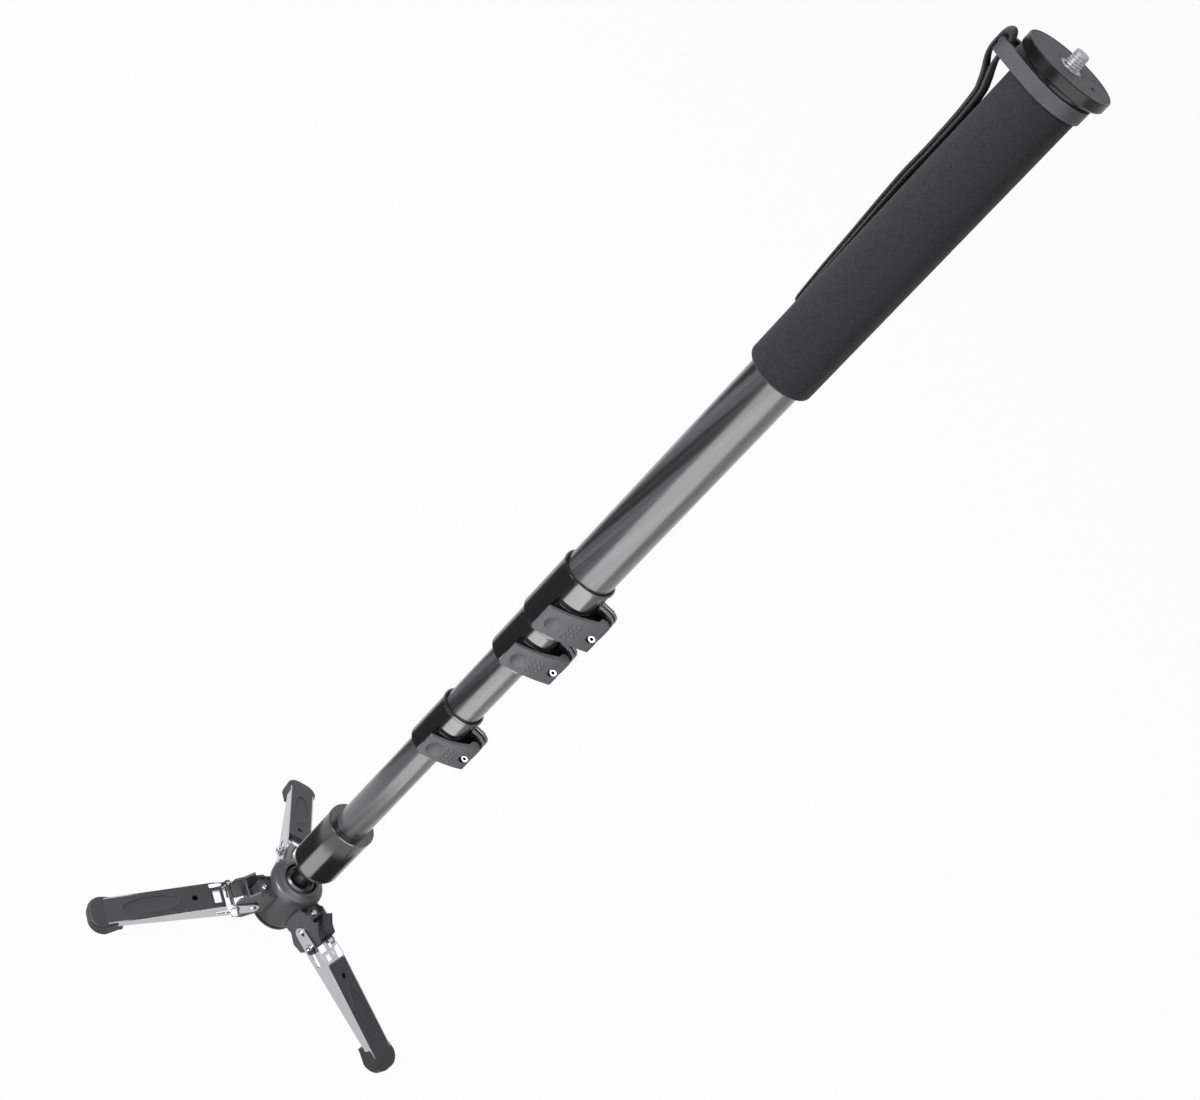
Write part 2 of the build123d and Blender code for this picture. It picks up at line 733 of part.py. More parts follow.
def strap_ring():
    """Ring that turns under the plate, with a wide slotted lug for the strap."""
    end = -lug_reach
    lug = hull_of(Circle(ring_outer_radius),
                  Pos(end + lug_corner, lug_half_width - lug_corner) * Circle(lug_corner),
                  Pos(end + lug_corner, lug_corner - lug_half_width) * Circle(lug_corner))
    body = Pos(0, 0, ring_bottom) * extrude(lug, ring_height)
    body = body - rod(ring_journal_radius + run_gap, ring_bottom - overrun, ring_top + overrun)
    slot = block(end + lug_bar, end + lug_bar + lug_slot_length, -lug_slot_half_width, lug_slot_half_width,
                 ring_bottom - overrun, ring_top + overrun)
    return body - slot


def strap_section(turn, drop, stand_off, thickness):
    """One flat section of the hanging strap beside the grip."""
    radius = grip_radius + seat_gap + thickness / 2 + stand_off
    east, north = math.cos(math.radians(turn)), math.sin(math.radians(turn))
    centre = (radius * east, radius * north, ring_bottom - drop)
    plane = Plane(origin=centre, x_dir=(-north, east, 0), z_dir=(0, 0, -1))
    return plane * RectangleRounded(strap_width, thickness, strap_bundle / 3)


def wrist_strap():
    """Webbing strap: a loop over the lug's bar and two layers that hang beside the grip."""
    sections = []
    table = zip(strap_turns, strap_drop_shares, strap_stand_off_shares, strap_thick_shares)
    for turn, drop, off, thick in table:
        sections.append(strap_section(turn, drop * strap_length, off * strap_swing, thick * strap_bundle))
    hanging = loft(sections, ruled=True)
    bar_out = -lug_reach - seat_gap
    bar_in = -lug_reach + lug_bar + seat_gap
    top = ring_top + strap_rise - strap_thickness
    low = ring_bottom - strap_length * strap_drop_shares[0]
    half = strap_width / 2
    left, right = bar_out - strap_thickness, bar_in + strap_thickness
    outer = block(left, right, -half, half, low, top + strap_thickness)
    outer = fillet(outer.edges().filter_by(Axis.Y).group_by(Axis.Z)[-1], strap_thickness + soft_edge)
    inner = block(bar_out, bar_in, -strap_width, strap_width, ring_bottom - seat_gap, top)
    return outer - inner + hanging


# Leg brackets


def pin_angle(fold):
    """World angle of the lock pin about the leg pivot, with the leg folded up by some degrees."""
    return math.degrees(math.atan2(pin_height, pin_place)) - leg_slope + fold


def pin_distance(fold):
    along = pin_place + pin_travel * fold / leg_fold
    return math.hypot(along, pin_height)


def cheek_outline():
    """Side view of a cheek: a notch for the pin at rest, then a ramp that the pin rides clear of."""
    points = [(x * bracket_reach, z * bracket_reach) for x, z in cheek_lower_shares]
    room = pin_radius + seat_gap
    start = math.radians(pin_angle(0))
    rest = pin_distance(0)
    middle = (rest * math.cos(start), rest * math.sin(start))
    out = (math.cos(start), math.sin(start))
    side = (math.sin(start), -math.cos(start))
    corner = room * notch_corner_share
    for ahead, aside in ((room, room), (0, room), (-corner, corner), (-room, 0)):
        x = middle[0] + out[0] * ahead + side[0] * aside
        z = middle[1] + out[1] * ahead + side[1] * aside
        points.append((x, z))
    for fold in ramp_turns:
        angle = math.radians(pin_angle(fold))
        reach = pin_distance(fold) - room
        points.append((reach * math.cos(angle), reach * math.sin(angle)))
    points += [(x * bracket_reach, z * bracket_reach) for x, z in cheek_upper_shares]
    return outline_of(points)


def leg_bracket():
    """Two stamped cheeks joined by a tab that is screwed to the hub's post."""
    cheek = Pos(pivot_radius, pivot_height) * cheek_outline()
    inner = bracket_half_width - bracket_wall
    body = side_plate(cheek, -bracket_half_width, -inner) + side_plate(cheek, inner, bracket_half_width)
    body = body - rod(barrel_radius, 0, barrel_top)
    body = body - rod(cap_radius + seat_gap, barrel_top - seat_gap, 2 * cap_top)
    tab_top = bracket_post_top + bracket_wall
    tab = block(0, bracket_tab_end, -inner, inner, bracket_post_top, tab_top)
    hole = rod(bracket_screw_radius, 0, cap_top)
    tab = tab - Pos(bracket_screw_place, 0, 0) * hole - rod(barrel_radius + seat_gap, 0, cap_top)
    return body + tab - cross_rod(rivet_radius, pivot_radius, pivot_height, -wall_outer, wall_outer)


def bracket_screw():
    seat = bracket_post_top + bracket_wall
    screw = rod(bracket_screw_radius, bracket_post_top - bracket_screw_length, seat)
    head = rod(bracket_screw_head_radius, seat, seat + bracket_screw_head)
    head = chamfer(head.edges().filter_by(GeomType.CIRCLE).group_by(Axis.Z)[-1], bracket_screw_head / 3)
    socket = extrude(RegularPolygon(bracket_screw_radius * screw_socket_share, 6), bracket_screw_head)
    socket = Pos(0, 0, seat + bracket_screw_head / 2) * socket
    return Pos(bracket_screw_place, 0, 0) * (screw + head - socket)


def domed_head(radius, height, face):
    """Domed rivet or nut head on the side face y = face, pointing away from the middle."""
    ball = (radius ** 2 + height ** 2) / (2 * height)
    half = math.asin(min(radius / ball, 1)) / 2
    middle = (ball * math.sin(half), height - ball + ball * math.cos(half))
    arc = ThreePointArc((radius, 0), middle, (0, height))
    section = make_face([Line((0, 0), (radius, 0)), arc, Line((0, height), (0, 0))])
    dome = revolve(Plane.XZ * section, Axis.Z)
    return Pos(0, face, 0) * (Rot(math.copysign(90, -face), 0, 0) * dome)


def leg_pivot_rivet():
    face = wall_outer + run_gap
    body = cross_rod(rivet_radius, 0, 0, -face, face)
    for side in (-face, face):
        body = body + domed_head(rivet_head_radius, rivet_head_height, side)
    return Pos(pivot_radius, 0, pivot_height) * body


# Legs


def place_leg(shape):
    """From the leg's own flat frame to its place in front of the hub, standing on the floor."""
    return Pos(pivot_radius, 0, pivot_height) * (Rot(0, leg_slope, 0) * shape)


def wall_outline():
    low = Polyline((leg_metal_length, wall_top), (wall_top_start, wall_top))
    end = Polyline((leg_metal_length, wall_low_end), (wall_low_start, -wall_drop))
    return hull_of(Circle(wall_end_radius), low, end)


def slot_outline():
    room = pin_radius + seat_gap
    first = Pos(pin_place - slot_inner_room + room - pin_radius, pin_height) * Circle(room)
    last = Pos(pin_place + pin_travel + seat_gap, pin_height) * Circle(room)
    return hull_of(first, last)


def leg_channel():
    """Stamped steel channel: two tapering walls, slotted for the lock pin, and a web between them."""
    inner = wall_outer - wall_thickness
    wall = wall_outline() - Circle(rivet_radius + run_gap) - slot_outline()
    body = side_plate(wall, -wall_outer, -inner) + side_plate(wall, inner, wall_outer)
    web = block(web_start, leg_metal_length, -inner, inner, web_bottom, web_bottom + web_thickness)
    window = block(window_start, window_start + window_length, -window_half_width, window_half_width,
                   web_bottom - overrun, web_bottom + overrun)
    return body + web - window


def leg_cover():
    """Moulded strip on the web, with an oval thumb recess and a screw hole."""
    inner = wall_outer - wall_thickness
    low = web_bottom + web_thickness
    body = block(cover_start, cover_end, -inner, inner, low, cover_top)
    body = body - Pos(cover_hole_place, 0, 0) * rod(cover_hole_radius, low - overrun, cover_top + overrun)
    dish = scale(Sphere(1), by=(thumb_half_length, thumb_half_width, thumb_depth))
    return body - Pos(thumb_place, 0, cover_top) * dish


def leg_foot():
    """Rubber cap that wraps the leg's end and hooks under it, cut flat where it stands."""
    centre = foot_tip - foot_tip_radius
    spread = foot_half_width - foot_tip_radius
    root = Polyline((foot_side_start, -wall_outer - seat_gap), (foot_side_start, wall_outer + seat_gap))
    tip = Circle(foot_tip_radius)
    plan = hull_of(Pos(centre, spread) * tip, Pos(centre, -spread) * tip, root)
    cap = Pos(0, 0, -foot_drop) * extrude(plan, cover_top + foot_drop)
    top = cap.edges().group_by(Axis.Z)[-1].filter_by(lambda e: e.center().X > foot_side_start + run_gap)
    cap = fillet(top, foot_round)
    under = leg_metal_length - foot_under_reach
    cap = cap + block(under, centre, -wall_outer, wall_outer, -foot_drop, wall_low_end)
    envelope = side_plate(wall_outline(), -wall_outer, wall_outer)
    cap = cap - envelope - block(0, cover_end, -wall_outer, wall_outer, wall_low_end, cover_top + overrun)
    placed = place_leg(cap)
    return placed - block(0, 2 * foot_tip, -2 * foot_half_width, 2 * foot_half_width, -2 * foot_tip, 0)


def lock_pin():
    """Sprung pin across the leg that sits in the cheeks' notch, with a domed nut at each end."""
    face = wall_outer + seat_gap
    body = cross_rod(pin_radius, 0, 0, -face, face)
    for side in (-1, 1):
        near, far = sorted((side * face, side * (face + pin_washer_height)))
        body = body + cross_rod(pin_washer_radius, 0, 0, near, far)
        body = body + domed_head(pin_nut_radius, pin_nut_height, side * (face + pin_washer_height))
    return Pos(pin_place, 0, pin_height) * body


# Build and write every sub-part

save("hub_barrel", hub_barrel())
save("hub_base_plate", hub_base_plate())
save("hub_screw", hub_screw())
save("hub_cap", hub_cap())
save("ball_seat_ring", ball_seat_ring())
save("ball_stem", ball_stem())
save("stem_retainer", stem_retainer())
save("stem_screw", stem_screw())
save("base_sleeve", base_sleeve())
save("sleeve_top_ring", sleeve_top_ring())
save("pan_bearing", pan_bearing())

for n in (4, 3, 2, 1):
    save(f"tube_{n}", pole_tube(n))
for n in (4, 3, 2):
    save(f"tube_{n}_guide", tube_guide(n))
for n in (3, 2, 1):
    save(f"lock_{n}_collar", collar(n))
    save(f"lock_{n}_shim", shim(n))
    save(f"lock_{n}_bolt", lock_bolt(n))
    save(f"lock_{n}_barrel", lock_barrel(n))
    save(f"lever_{n}", lever(n))

save("foam_grip", foam_grip())
save("head_insert", head_insert())
save("head_collar", head_collar())
save("top_plate", top_plate())
save("plate_pad", plate_pad())
save("camera_screw", camera_screw())
save("set_screw", set_screw())
save("strap_ring", strap_ring())
save("wrist_strap", wrist_strap())

bracket, rivet, small_screw = leg_bracket(), leg_pivot_rivet(), bracket_screw()
channel, cover = place_leg(leg_channel()), place_leg(leg_cover())
foot, pin = leg_foot(), place_leg(lock_pin())
for index, letter in enumerate(leg_names):
    turn = leg_turn(index)
    save(f"leg_bracket_{letter}", round_the_pole(bracket, turn))
    save(f"leg_{letter}_channel", round_the_pole(channel, turn))
    save(f"leg_{letter}_cover", round_the_pole(cover, turn))
    save(f"leg_{letter}_foot", round_the_pole(foot, turn))
    save(f"lock_pin_{letter}", round_the_pole(pin, turn))
save_group("leg_pivot_rivets", [round_the_pole(rivet, leg_turn(i)) for i in range(leg_count)])
save_group("bracket_screws", [round_the_pole(small_screw, leg_turn(i)) for i in range(leg_count)])
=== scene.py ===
"""Visual model of a camera monopod with a folding three-leg stand, in metres."""
import math

import bmesh
import bpy
from bpy.props import FloatProperty, FloatVectorProperty, IntProperty, PointerProperty
from bpy.types import Operator, Panel, PropertyGroup
from mathutils import Matrix, Vector, noise
from mathutils.bvhtree import BVHTree


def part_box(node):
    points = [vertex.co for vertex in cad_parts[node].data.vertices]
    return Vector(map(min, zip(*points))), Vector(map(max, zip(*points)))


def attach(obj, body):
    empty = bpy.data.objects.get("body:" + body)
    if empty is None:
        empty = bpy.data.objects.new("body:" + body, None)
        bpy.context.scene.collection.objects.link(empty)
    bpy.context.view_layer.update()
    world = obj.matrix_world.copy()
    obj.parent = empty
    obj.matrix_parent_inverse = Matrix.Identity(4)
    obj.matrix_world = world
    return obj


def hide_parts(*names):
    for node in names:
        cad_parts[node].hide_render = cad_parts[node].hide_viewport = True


bl_info = {
    "name": "Camera monopod",
    "version": (1, 0, 0),
    "blender": (4, 5, 0),
    "location": "View3D > Sidebar > Monopod",
    "description": "Dresses the packed frame of a camera monopod with materials and fine pieces",
    "category": "Object",
}

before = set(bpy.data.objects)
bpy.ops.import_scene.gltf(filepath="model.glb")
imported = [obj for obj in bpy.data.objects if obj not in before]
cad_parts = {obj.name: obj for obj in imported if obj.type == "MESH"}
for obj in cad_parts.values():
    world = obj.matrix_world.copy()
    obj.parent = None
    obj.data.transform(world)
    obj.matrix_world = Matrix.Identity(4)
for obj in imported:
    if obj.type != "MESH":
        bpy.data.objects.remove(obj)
MM = 0.001


# Small helpers for meshes


def circle(count):
    """Equal turns round a full circle, in radians."""
    return [2 * math.pi * i / count for i in range(count)]


def skin(bm, rows, around=False, along=False):
    """Joins rows with quads; around closes each row, along joins the last to the first."""
    faces = []
    last = len(rows) if along else len(rows) - 1
    for j in range(last):
        low, high = rows[j], rows[(j + 1) % len(rows)]
        count = len(low) if around else len(low) - 1
        for i in range(count):
            k = (i + 1) % len(low)
            faces.append(bm.faces.new((low[i], low[k], high[k], high[i])))
    return faces


def cap_ends(bm, rows):
    """Closes the first and the last of some rows with a flat face each."""
    bm.faces.new(rows[-1])
    bm.faces.new(list(reversed(rows[0])))


def ring_of(bm, radius, height, segments):
    """A ring of vertices round the pole's axis."""
    places = [(radius * math.cos(t), radius * math.sin(t), height) for t in circle(segments)]
    return [bm.verts.new(place) for place in places]


def sweep(start, stop, steps):
    """Equal turns from one angle to another: degrees in, radians out."""
    return [math.radians(start + (stop - start) * i / steps) for i in range(steps + 1)]


def corner(middle, height, radius, start, stop, steps=7):
    """Points (distance, height) of a rounded corner, between two angles in degrees."""
    return [(middle + radius * math.cos(a), height + radius * math.sin(a))
            for a in sweep(start, stop, steps)]


def node_bmesh(name):
    """A welded copy of a node's mesh in the scene's own axes."""
    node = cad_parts[name]
    bm = bmesh.new()
    bm.from_mesh(node.data)
    bmesh.ops.transform(bm, matrix=node.matrix_world, verts=bm.verts)
    bmesh.ops.remove_doubles(bm, verts=bm.verts, dist=0.002 * MM)
    return bm


def piece_from(bm, name, material, body, sharp=None):
    """Makes a smooth object from a bmesh, sharp above an angle in degrees, that rides on a body."""
    mesh = bpy.data.meshes.new(name)
    bm.to_mesh(mesh)
    bm.free()
    mesh.polygons.foreach_set("use_smooth", [True] * len(mesh.polygons))
    mesh.materials.append(material)
    piece = bpy.data.objects.new(name, mesh)
    bpy.context.scene.collection.objects.link(piece)
    if sharp:
        mesh.set_sharp_from_angle(angle=math.radians(sharp))
        even = piece.modifiers.new("even_normals", "WEIGHTED_NORMAL")
        even.keep_sharp = True
    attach(piece, body)
    return piece


def cut_away(bm, tool):
    """Cuts one closed bmesh out of another and gives the rest; both are used up."""
    holders = []
    for name, shape in (("stock", bm), ("cutter", tool)):
        mesh = bpy.data.meshes.new(name)
        shape.to_mesh(mesh)
        shape.free()
        holders.append(bpy.data.objects.new(name, mesh))
        bpy.context.scene.collection.objects.link(holders[-1])
    cut = holders[0].modifiers.new("cut", "BOOLEAN")
    cut.operation, cut.object, cut.solver = "DIFFERENCE", holders[1], "EXACT"
    evaluated = holders[0].evaluated_get(bpy.context.evaluated_depsgraph_get())
    result = bpy.data.meshes.new_from_object(evaluated)
    rest = bmesh.new()
    rest.from_mesh(result)
    for mesh in (holders[0].data, holders[1].data, result):
        bpy.data.meshes.remove(mesh)
    return rest


def ball_at(centre, radius):
    """A closed ball, as a cutter."""
    ball = bmesh.new()
    place = Matrix.Translation(centre)
    bmesh.ops.create_icosphere(ball, subdivisions=6, radius=radius, matrix=place)
    return ball


def prism(outline, low, high):
    """A closed prism along Y from an outline of (x, z) points, as a cutter."""
    bm = bmesh.new()
    ends = [[bm.verts.new((x, y, z)) for x, z in outline] for y in (low, high)]
    skin(bm, ends, around=True)
    bm.faces.new(ends[0])
    bm.faces.new(list(reversed(ends[1])))
    bmesh.ops.recalc_face_normals(bm, faces=bm.faces)
    return bm


# Colour and material helpers


def linear(hex_code):
    """sRGB hex text to linear red, green, blue."""
    parts = [int(hex_code[i:i + 2], 16) / 255 for i in (0, 2, 4)]
    return [c / 12.92 if c <= 0.04045 else ((c + 0.055) / 1.055) ** 2.4 for c in parts]


def rgba(hex_code):
    """sRGB hex text to a linear colour with full opacity."""
    return (*linear(hex_code), 1.0)


def add(tree, kind, settings=None, inputs=None, links=None):
    """Adds a node: settings are its own values, inputs its sockets' values, links their sources."""
    node = tree.nodes.new(kind)
    for name, value in (settings or {}).items():
        setattr(node, name, value)
    for name, value in (inputs or {}).items():
        node.inputs[name].default_value = value
    for name, source in (links or {}).items():
        tree.links.new(source, node.inputs[name])
    return node


def new_material(name):
    """An empty material with its node tree and output."""
    material = bpy.data.materials.new(name)
    material.use_nodes = True
    tree = material.node_tree
    tree.nodes.clear()
    output = add(tree, "ShaderNodeOutputMaterial")
    return material, tree, output


def finish_material(tree, output, inputs, links):
    """Adds the surface shader with its fixed values and its textured inputs."""
    shader = add(tree, "ShaderNodeBsdfPrincipled", inputs=inputs, links=links)
    tree.links.new(shader.outputs["BSDF"], output.inputs["Surface"])


def own_place(tree):
    """The place on the piece, in the piece's own metres."""
    return add(tree, "ShaderNodeTexCoord").outputs["Object"]


def grain_bump(tree, size, strength, depth, detail=2.0, rounded=0.0):
    """Noise with grains of a real size, as a pattern and as a bump, with edges rounded if asked."""
    grain = add(tree, "ShaderNodeTexNoise",
                inputs={"Scale": 1 / size, "Detail": detail, "Roughness": 0.6},
                links={"Vector": own_place(tree)}).outputs["Fac"]
    links = {"Height": grain}
    if rounded:
        edge = add(tree, "ShaderNodeBevel", {"samples": 4}, {"Radius": rounded})
        links["Normal"] = edge.outputs["Normal"]
    bump = add(tree, "ShaderNodeBump", inputs={"Strength": strength, "Distance": depth},
               links=links)
    return grain, bump.outputs["Normal"]


def two_tones(tree, source, tones, start=0.3, end=0.7):
    """A ramp between two colours, driven by a texture."""
    ramp = add(tree, "ShaderNodeValToRGB", links={"Fac": source})
    for element, place, tone in zip(ramp.color_ramp.elements, (start, end), tones):
        element.position = place
        element.color = tone
    return ramp.outputs["Color"]


def spread(tree, source, low, high, source_low=0.0):
    """A texture's value, from source_low to 1, carried over to another range."""
    ranged = add(tree, "ShaderNodeMapRange",
                 inputs={"From Min": source_low, "To Min": low, "To Max": high},
                 links={"Value": source})
    return ranged.outputs["Result"]


def worn_edges(tree, source, tone, worn, radius):
    """Mixes a paler tone in at rubbed edges: where the rounded normal leaves the true one."""
    rounded = add(tree, "ShaderNodeBevel", {"samples": 6}, {"Radius": radius})
    shape = add(tree, "ShaderNodeNewGeometry")
    match = add(tree, "ShaderNodeVectorMath", {"operation": "DOT_PRODUCT"},
                links={0: rounded.outputs["Normal"], 1: shape.outputs["Normal"]})
    edge = add(tree, "ShaderNodeMapRange",
               inputs={"From Min": 0.99, "From Max": 0.8, "To Min": 0.0, "To Max": 0.8},
               links={"Value": match.outputs["Value"]})
    patchy = add(tree, "ShaderNodeMath", {"operation": "MULTIPLY"},
                 links={0: edge.outputs["Result"], 1: source})
    mixed = add(tree, "ShaderNodeMix", {"data_type": "RGBA"},
                links={"Factor": patchy.outputs[0], "A": tone})
    mixed.inputs["B"].default_value = worn
    return mixed.outputs["Result"]


# Materials, each named for the real one and how its surface was made


def powder_coat(tones):
    """Powder coat on cast aluminium: dark grey, faint orange peel, a soft sheen and paler edges."""
    material, tree, output = new_material("satin_powder_coat_on_aluminium")
    grain, bump = grain_bump(tree, size=0.9 * MM, strength=0.15, depth=0.1 * MM, rounded=0.4 * MM)
    tone = worn_edges(tree, grain, two_tones(tree, grain, tones), rgba("7a7a7c"), 0.5 * MM)
    finish_material(tree, output, {"IOR": 1.5},
                    {"Base Color": tone, "Normal": bump,
                     "Roughness": spread(tree, grain, 0.3, 0.42)})
    return material


def chrome_plate():
    """Nickel-chrome plate on pressed steel: a near mirror with polishing haze and faint waves."""
    material, tree, output = new_material("chrome_plate_on_pressed_steel")
    grain, bump = grain_bump(tree, size=7 * MM, strength=0.06, depth=0.25 * MM, rounded=0.25 * MM)
    finish_material(tree, output, {"Base Color": rgba("bcbcbf"), "Metallic": 1.0},
                    {"Normal": bump, "Roughness": spread(tree, grain, 0.1, 0.22)})
    return material


def moulded_nylon(name, tones, rough, grain_size=0.35 * MM, worn="5a5a5c"):
    """Glass-filled nylon from an etched mould: dry and dark, with a fine grain and rubbed edges."""
    # The real etched grain is 0.1 to 0.2 mm and is drawn coarser, so that it shows in the render
    material, tree, output = new_material(name)
    grain, bump = grain_bump(tree, size=grain_size, strength=0.35, depth=0.08 * MM,
                             rounded=0.4 * MM)
    tone = worn_edges(tree, grain, two_tones(tree, grain, tones), rgba(worn), 0.5 * MM)
    finish_material(tree, output, {"IOR": 1.53, "Specular IOR Level": 0.3},
                    {"Base Color": tone, "Normal": bump, "Roughness": spread(tree, grain, *rough)})
    return material


def gloss_black():
    """Black anodised aluminium, turned then polished: deep black that mirrors in long streaks."""
    material, tree, output = new_material("polished_black_anodised_aluminium")
    # The real turning lines are 0.1 mm apart and are drawn 0.3 mm apart, so that they show in the
    # render: noise with grains of 4 mm, squeezed 12 times in height
    lines = add(tree, "ShaderNodeMapping", inputs={"Scale": (1.0, 1.0, 12.0)},
                links={"Vector": own_place(tree)})
    turning = add(tree, "ShaderNodeTexNoise", inputs={"Scale": 1 / (4 * MM), "Detail": 3.0},
                  links={"Vector": lines.outputs["Vector"]}).outputs["Fac"]
    edge = add(tree, "ShaderNodeBevel", {"samples": 4}, {"Radius": 0.35 * MM})
    bump = add(tree, "ShaderNodeBump", inputs={"Strength": 0.05, "Distance": 0.08 * MM},
               links={"Height": turning, "Normal": edge.outputs["Normal"]})
    finish_material(tree, output, {"IOR": 1.6, "Specular IOR Level": 0.9},
                    {"Base Color": two_tones(tree, turning, (rgba("0b0b0c"), rgba("121213"))),
                     "Normal": bump.outputs["Normal"],
                     "Roughness": spread(tree, turning, 0.15, 0.24)})
    return material


def satin_black():
    """Black anodised aluminium, bead blasted: an even dark satin with paler rubbed edges."""
    # The real blasted grain is about 0.05 mm and is drawn coarser, so that it shows in the render
    material, tree, output = new_material("blasted_black_anodised_aluminium")
    grain, bump = grain_bump(tree, size=0.25 * MM, strength=0.2, depth=0.04 * MM, rounded=0.35 * MM)
    tones = two_tones(tree, grain, (rgba("070708"), rgba("0d0d0e")))
    tone = worn_edges(tree, grain, tones, rgba("4a4a4c"), 0.6 * MM)
    finish_material(tree, output, {"IOR": 1.5, "Specular IOR Level": 0.22},
                    {"Base Color": tone, "Normal": bump,
                     "Roughness": spread(tree, grain, 0.24, 0.34)})
    return material


def carbon_tube(tones):
    """Carbon tube, rolled and lacquered: broad grey and dark streaks that slant with the fibres."""
    material, tree, output = new_material("lacquered_carbon_fibre_tube")
    split = add(tree, "ShaderNodeSeparateXYZ", links={"Vector": own_place(tree)})
    turn = add(tree, "ShaderNodeMath", {"operation": "ARCTAN2"},
               links={0: split.outputs["Y"], 1: split.outputs["X"]})
    # The fibres lean about 6.5 degrees from the tube's length: 6.3 radians of turn in a metre
    wind = add(tree, "ShaderNodeMath", {"operation": "MULTIPLY_ADD"}, {1: -6.3},
               {0: split.outputs["Z"], 2: turn.outputs[0]})
    east = add(tree, "ShaderNodeMath", {"operation": "COSINE"}, links={0: wind.outputs[0]})
    north = add(tree, "ShaderNodeMath", {"operation": "SINE"}, links={0: wind.outputs[0]})
    along = add(tree, "ShaderNodeMath", {"operation": "MULTIPLY"}, {1: 0.9},
                {0: split.outputs["Z"]})
    ring = add(tree, "ShaderNodeCombineXYZ",
               links={"X": east.outputs[0], "Y": north.outputs[0], "Z": along.outputs[0]})
    # The noise is laid on a ring of radius 1 for tubes of 12.5 to 18 mm radius, so its scales give
    # broad streaks of 5 to 8 mm and fine ones of about 1 mm; single fibres are far too thin to show
    broad = add(tree, "ShaderNodeTexNoise", inputs={"Scale": 2.3, "Detail": 1.5, "Roughness": 0.45},
                links={"Vector": ring.outputs["Vector"]})
    fine = add(tree, "ShaderNodeTexNoise", inputs={"Scale": 14.0, "Detail": 3.0, "Roughness": 0.6},
               links={"Vector": ring.outputs["Vector"]})
    mix = add(tree, "ShaderNodeMath", {"operation": "MULTIPLY_ADD"}, {1: 0.16},
              {0: fine.outputs["Fac"], 2: broad.outputs["Fac"]})
    bump = add(tree, "ShaderNodeBump", inputs={"Strength": 0.06, "Distance": 0.08 * MM},
               links={"Height": fine.outputs["Fac"]})
    finish_material(tree, output, {"IOR": 1.5, "Specular IOR Level": 0.4, "Coat Weight": 1.0,
                                   "Coat Roughness": 0.22, "Coat IOR": 1.5},
                    {"Base Color": two_tones(tree, mix.outputs[0], tones, 0.44, 0.64),
                     "Normal": bump.outputs["Normal"],
                     "Roughness": spread(tree, fine.outputs["Fac"], 0.36, 0.5)})
    return material


def foam_rubber(tones):
    """Closed-cell foam, ground after moulding: soft black with fine pits and a dusty bloom."""
    material, tree, output = new_material("ground_closed_cell_foam_rubber")
    place = own_place(tree)
    # The real cells are 0.2 to 0.3 mm and are drawn 0.8 mm apart, so that they show in the render
    cells = add(tree, "ShaderNodeTexVoronoi", inputs={"Scale": 1 / (0.8 * MM)},
                links={"Vector": place})
    patches = add(tree, "ShaderNodeTexNoise",
                  inputs={"Scale": 1 / (2.6 * MM), "Detail": 5.0, "Roughness": 0.65},
                  links={"Vector": place})
    height = add(tree, "ShaderNodeMath", {"operation": "MULTIPLY_ADD"}, {1: 0.6},
                 {0: patches.outputs["Fac"], 2: cells.outputs["Distance"]})
    bump = add(tree, "ShaderNodeBump", inputs={"Strength": 0.5, "Distance": 0.25 * MM},
               links={"Height": height.outputs[0]})
    finish_material(tree, output, {"IOR": 1.45, "Specular IOR Level": 0.12, "Roughness": 0.8,
                                   "Sheen Weight": 0.12, "Sheen Roughness": 0.45},
                    # The tone follows the bump's height: painted shade darkens the pits
                    {"Base Color": two_tones(tree, height.outputs[0], tones, 0.4, 0.95),
                     "Normal": bump.outputs["Normal"]})
    return material


def pad_rubber():
    """Pressed rubber and cork sheet: mid grey with pale and dark crumbs."""
    material, tree, output = new_material("pressed_rubber_and_cork_sheet")
    grain, bump = grain_bump(tree, size=0.55 * MM, strength=0.5, depth=0.12 * MM, detail=3.0)
    finish_material(tree, output, {"IOR": 1.5, "Specular IOR Level": 0.25},
                    {"Base Color": two_tones(tree, grain, (rgba("303032"), rgba("4a4a4c"))),
                     "Normal": bump, "Roughness": spread(tree, grain, 0.6, 0.75)})
    return material


def steel(name, hex_code, rough, rounded=0.15 * MM):
    """Machined steel under zinc or oxide: turning marks that blur what it mirrors."""
    # The real marks are about 0.1 mm wide and are drawn 0.8 mm wide, so that they show
    material, tree, output = new_material(name)
    grain, bump = grain_bump(tree, size=0.8 * MM, strength=0.08, depth=0.1 * MM, rounded=rounded)
    finish_material(tree, output, {"Base Color": rgba(hex_code), "Metallic": 1.0},
                    {"Normal": bump, "Roughness": spread(tree, grain, *rough)})
    return material


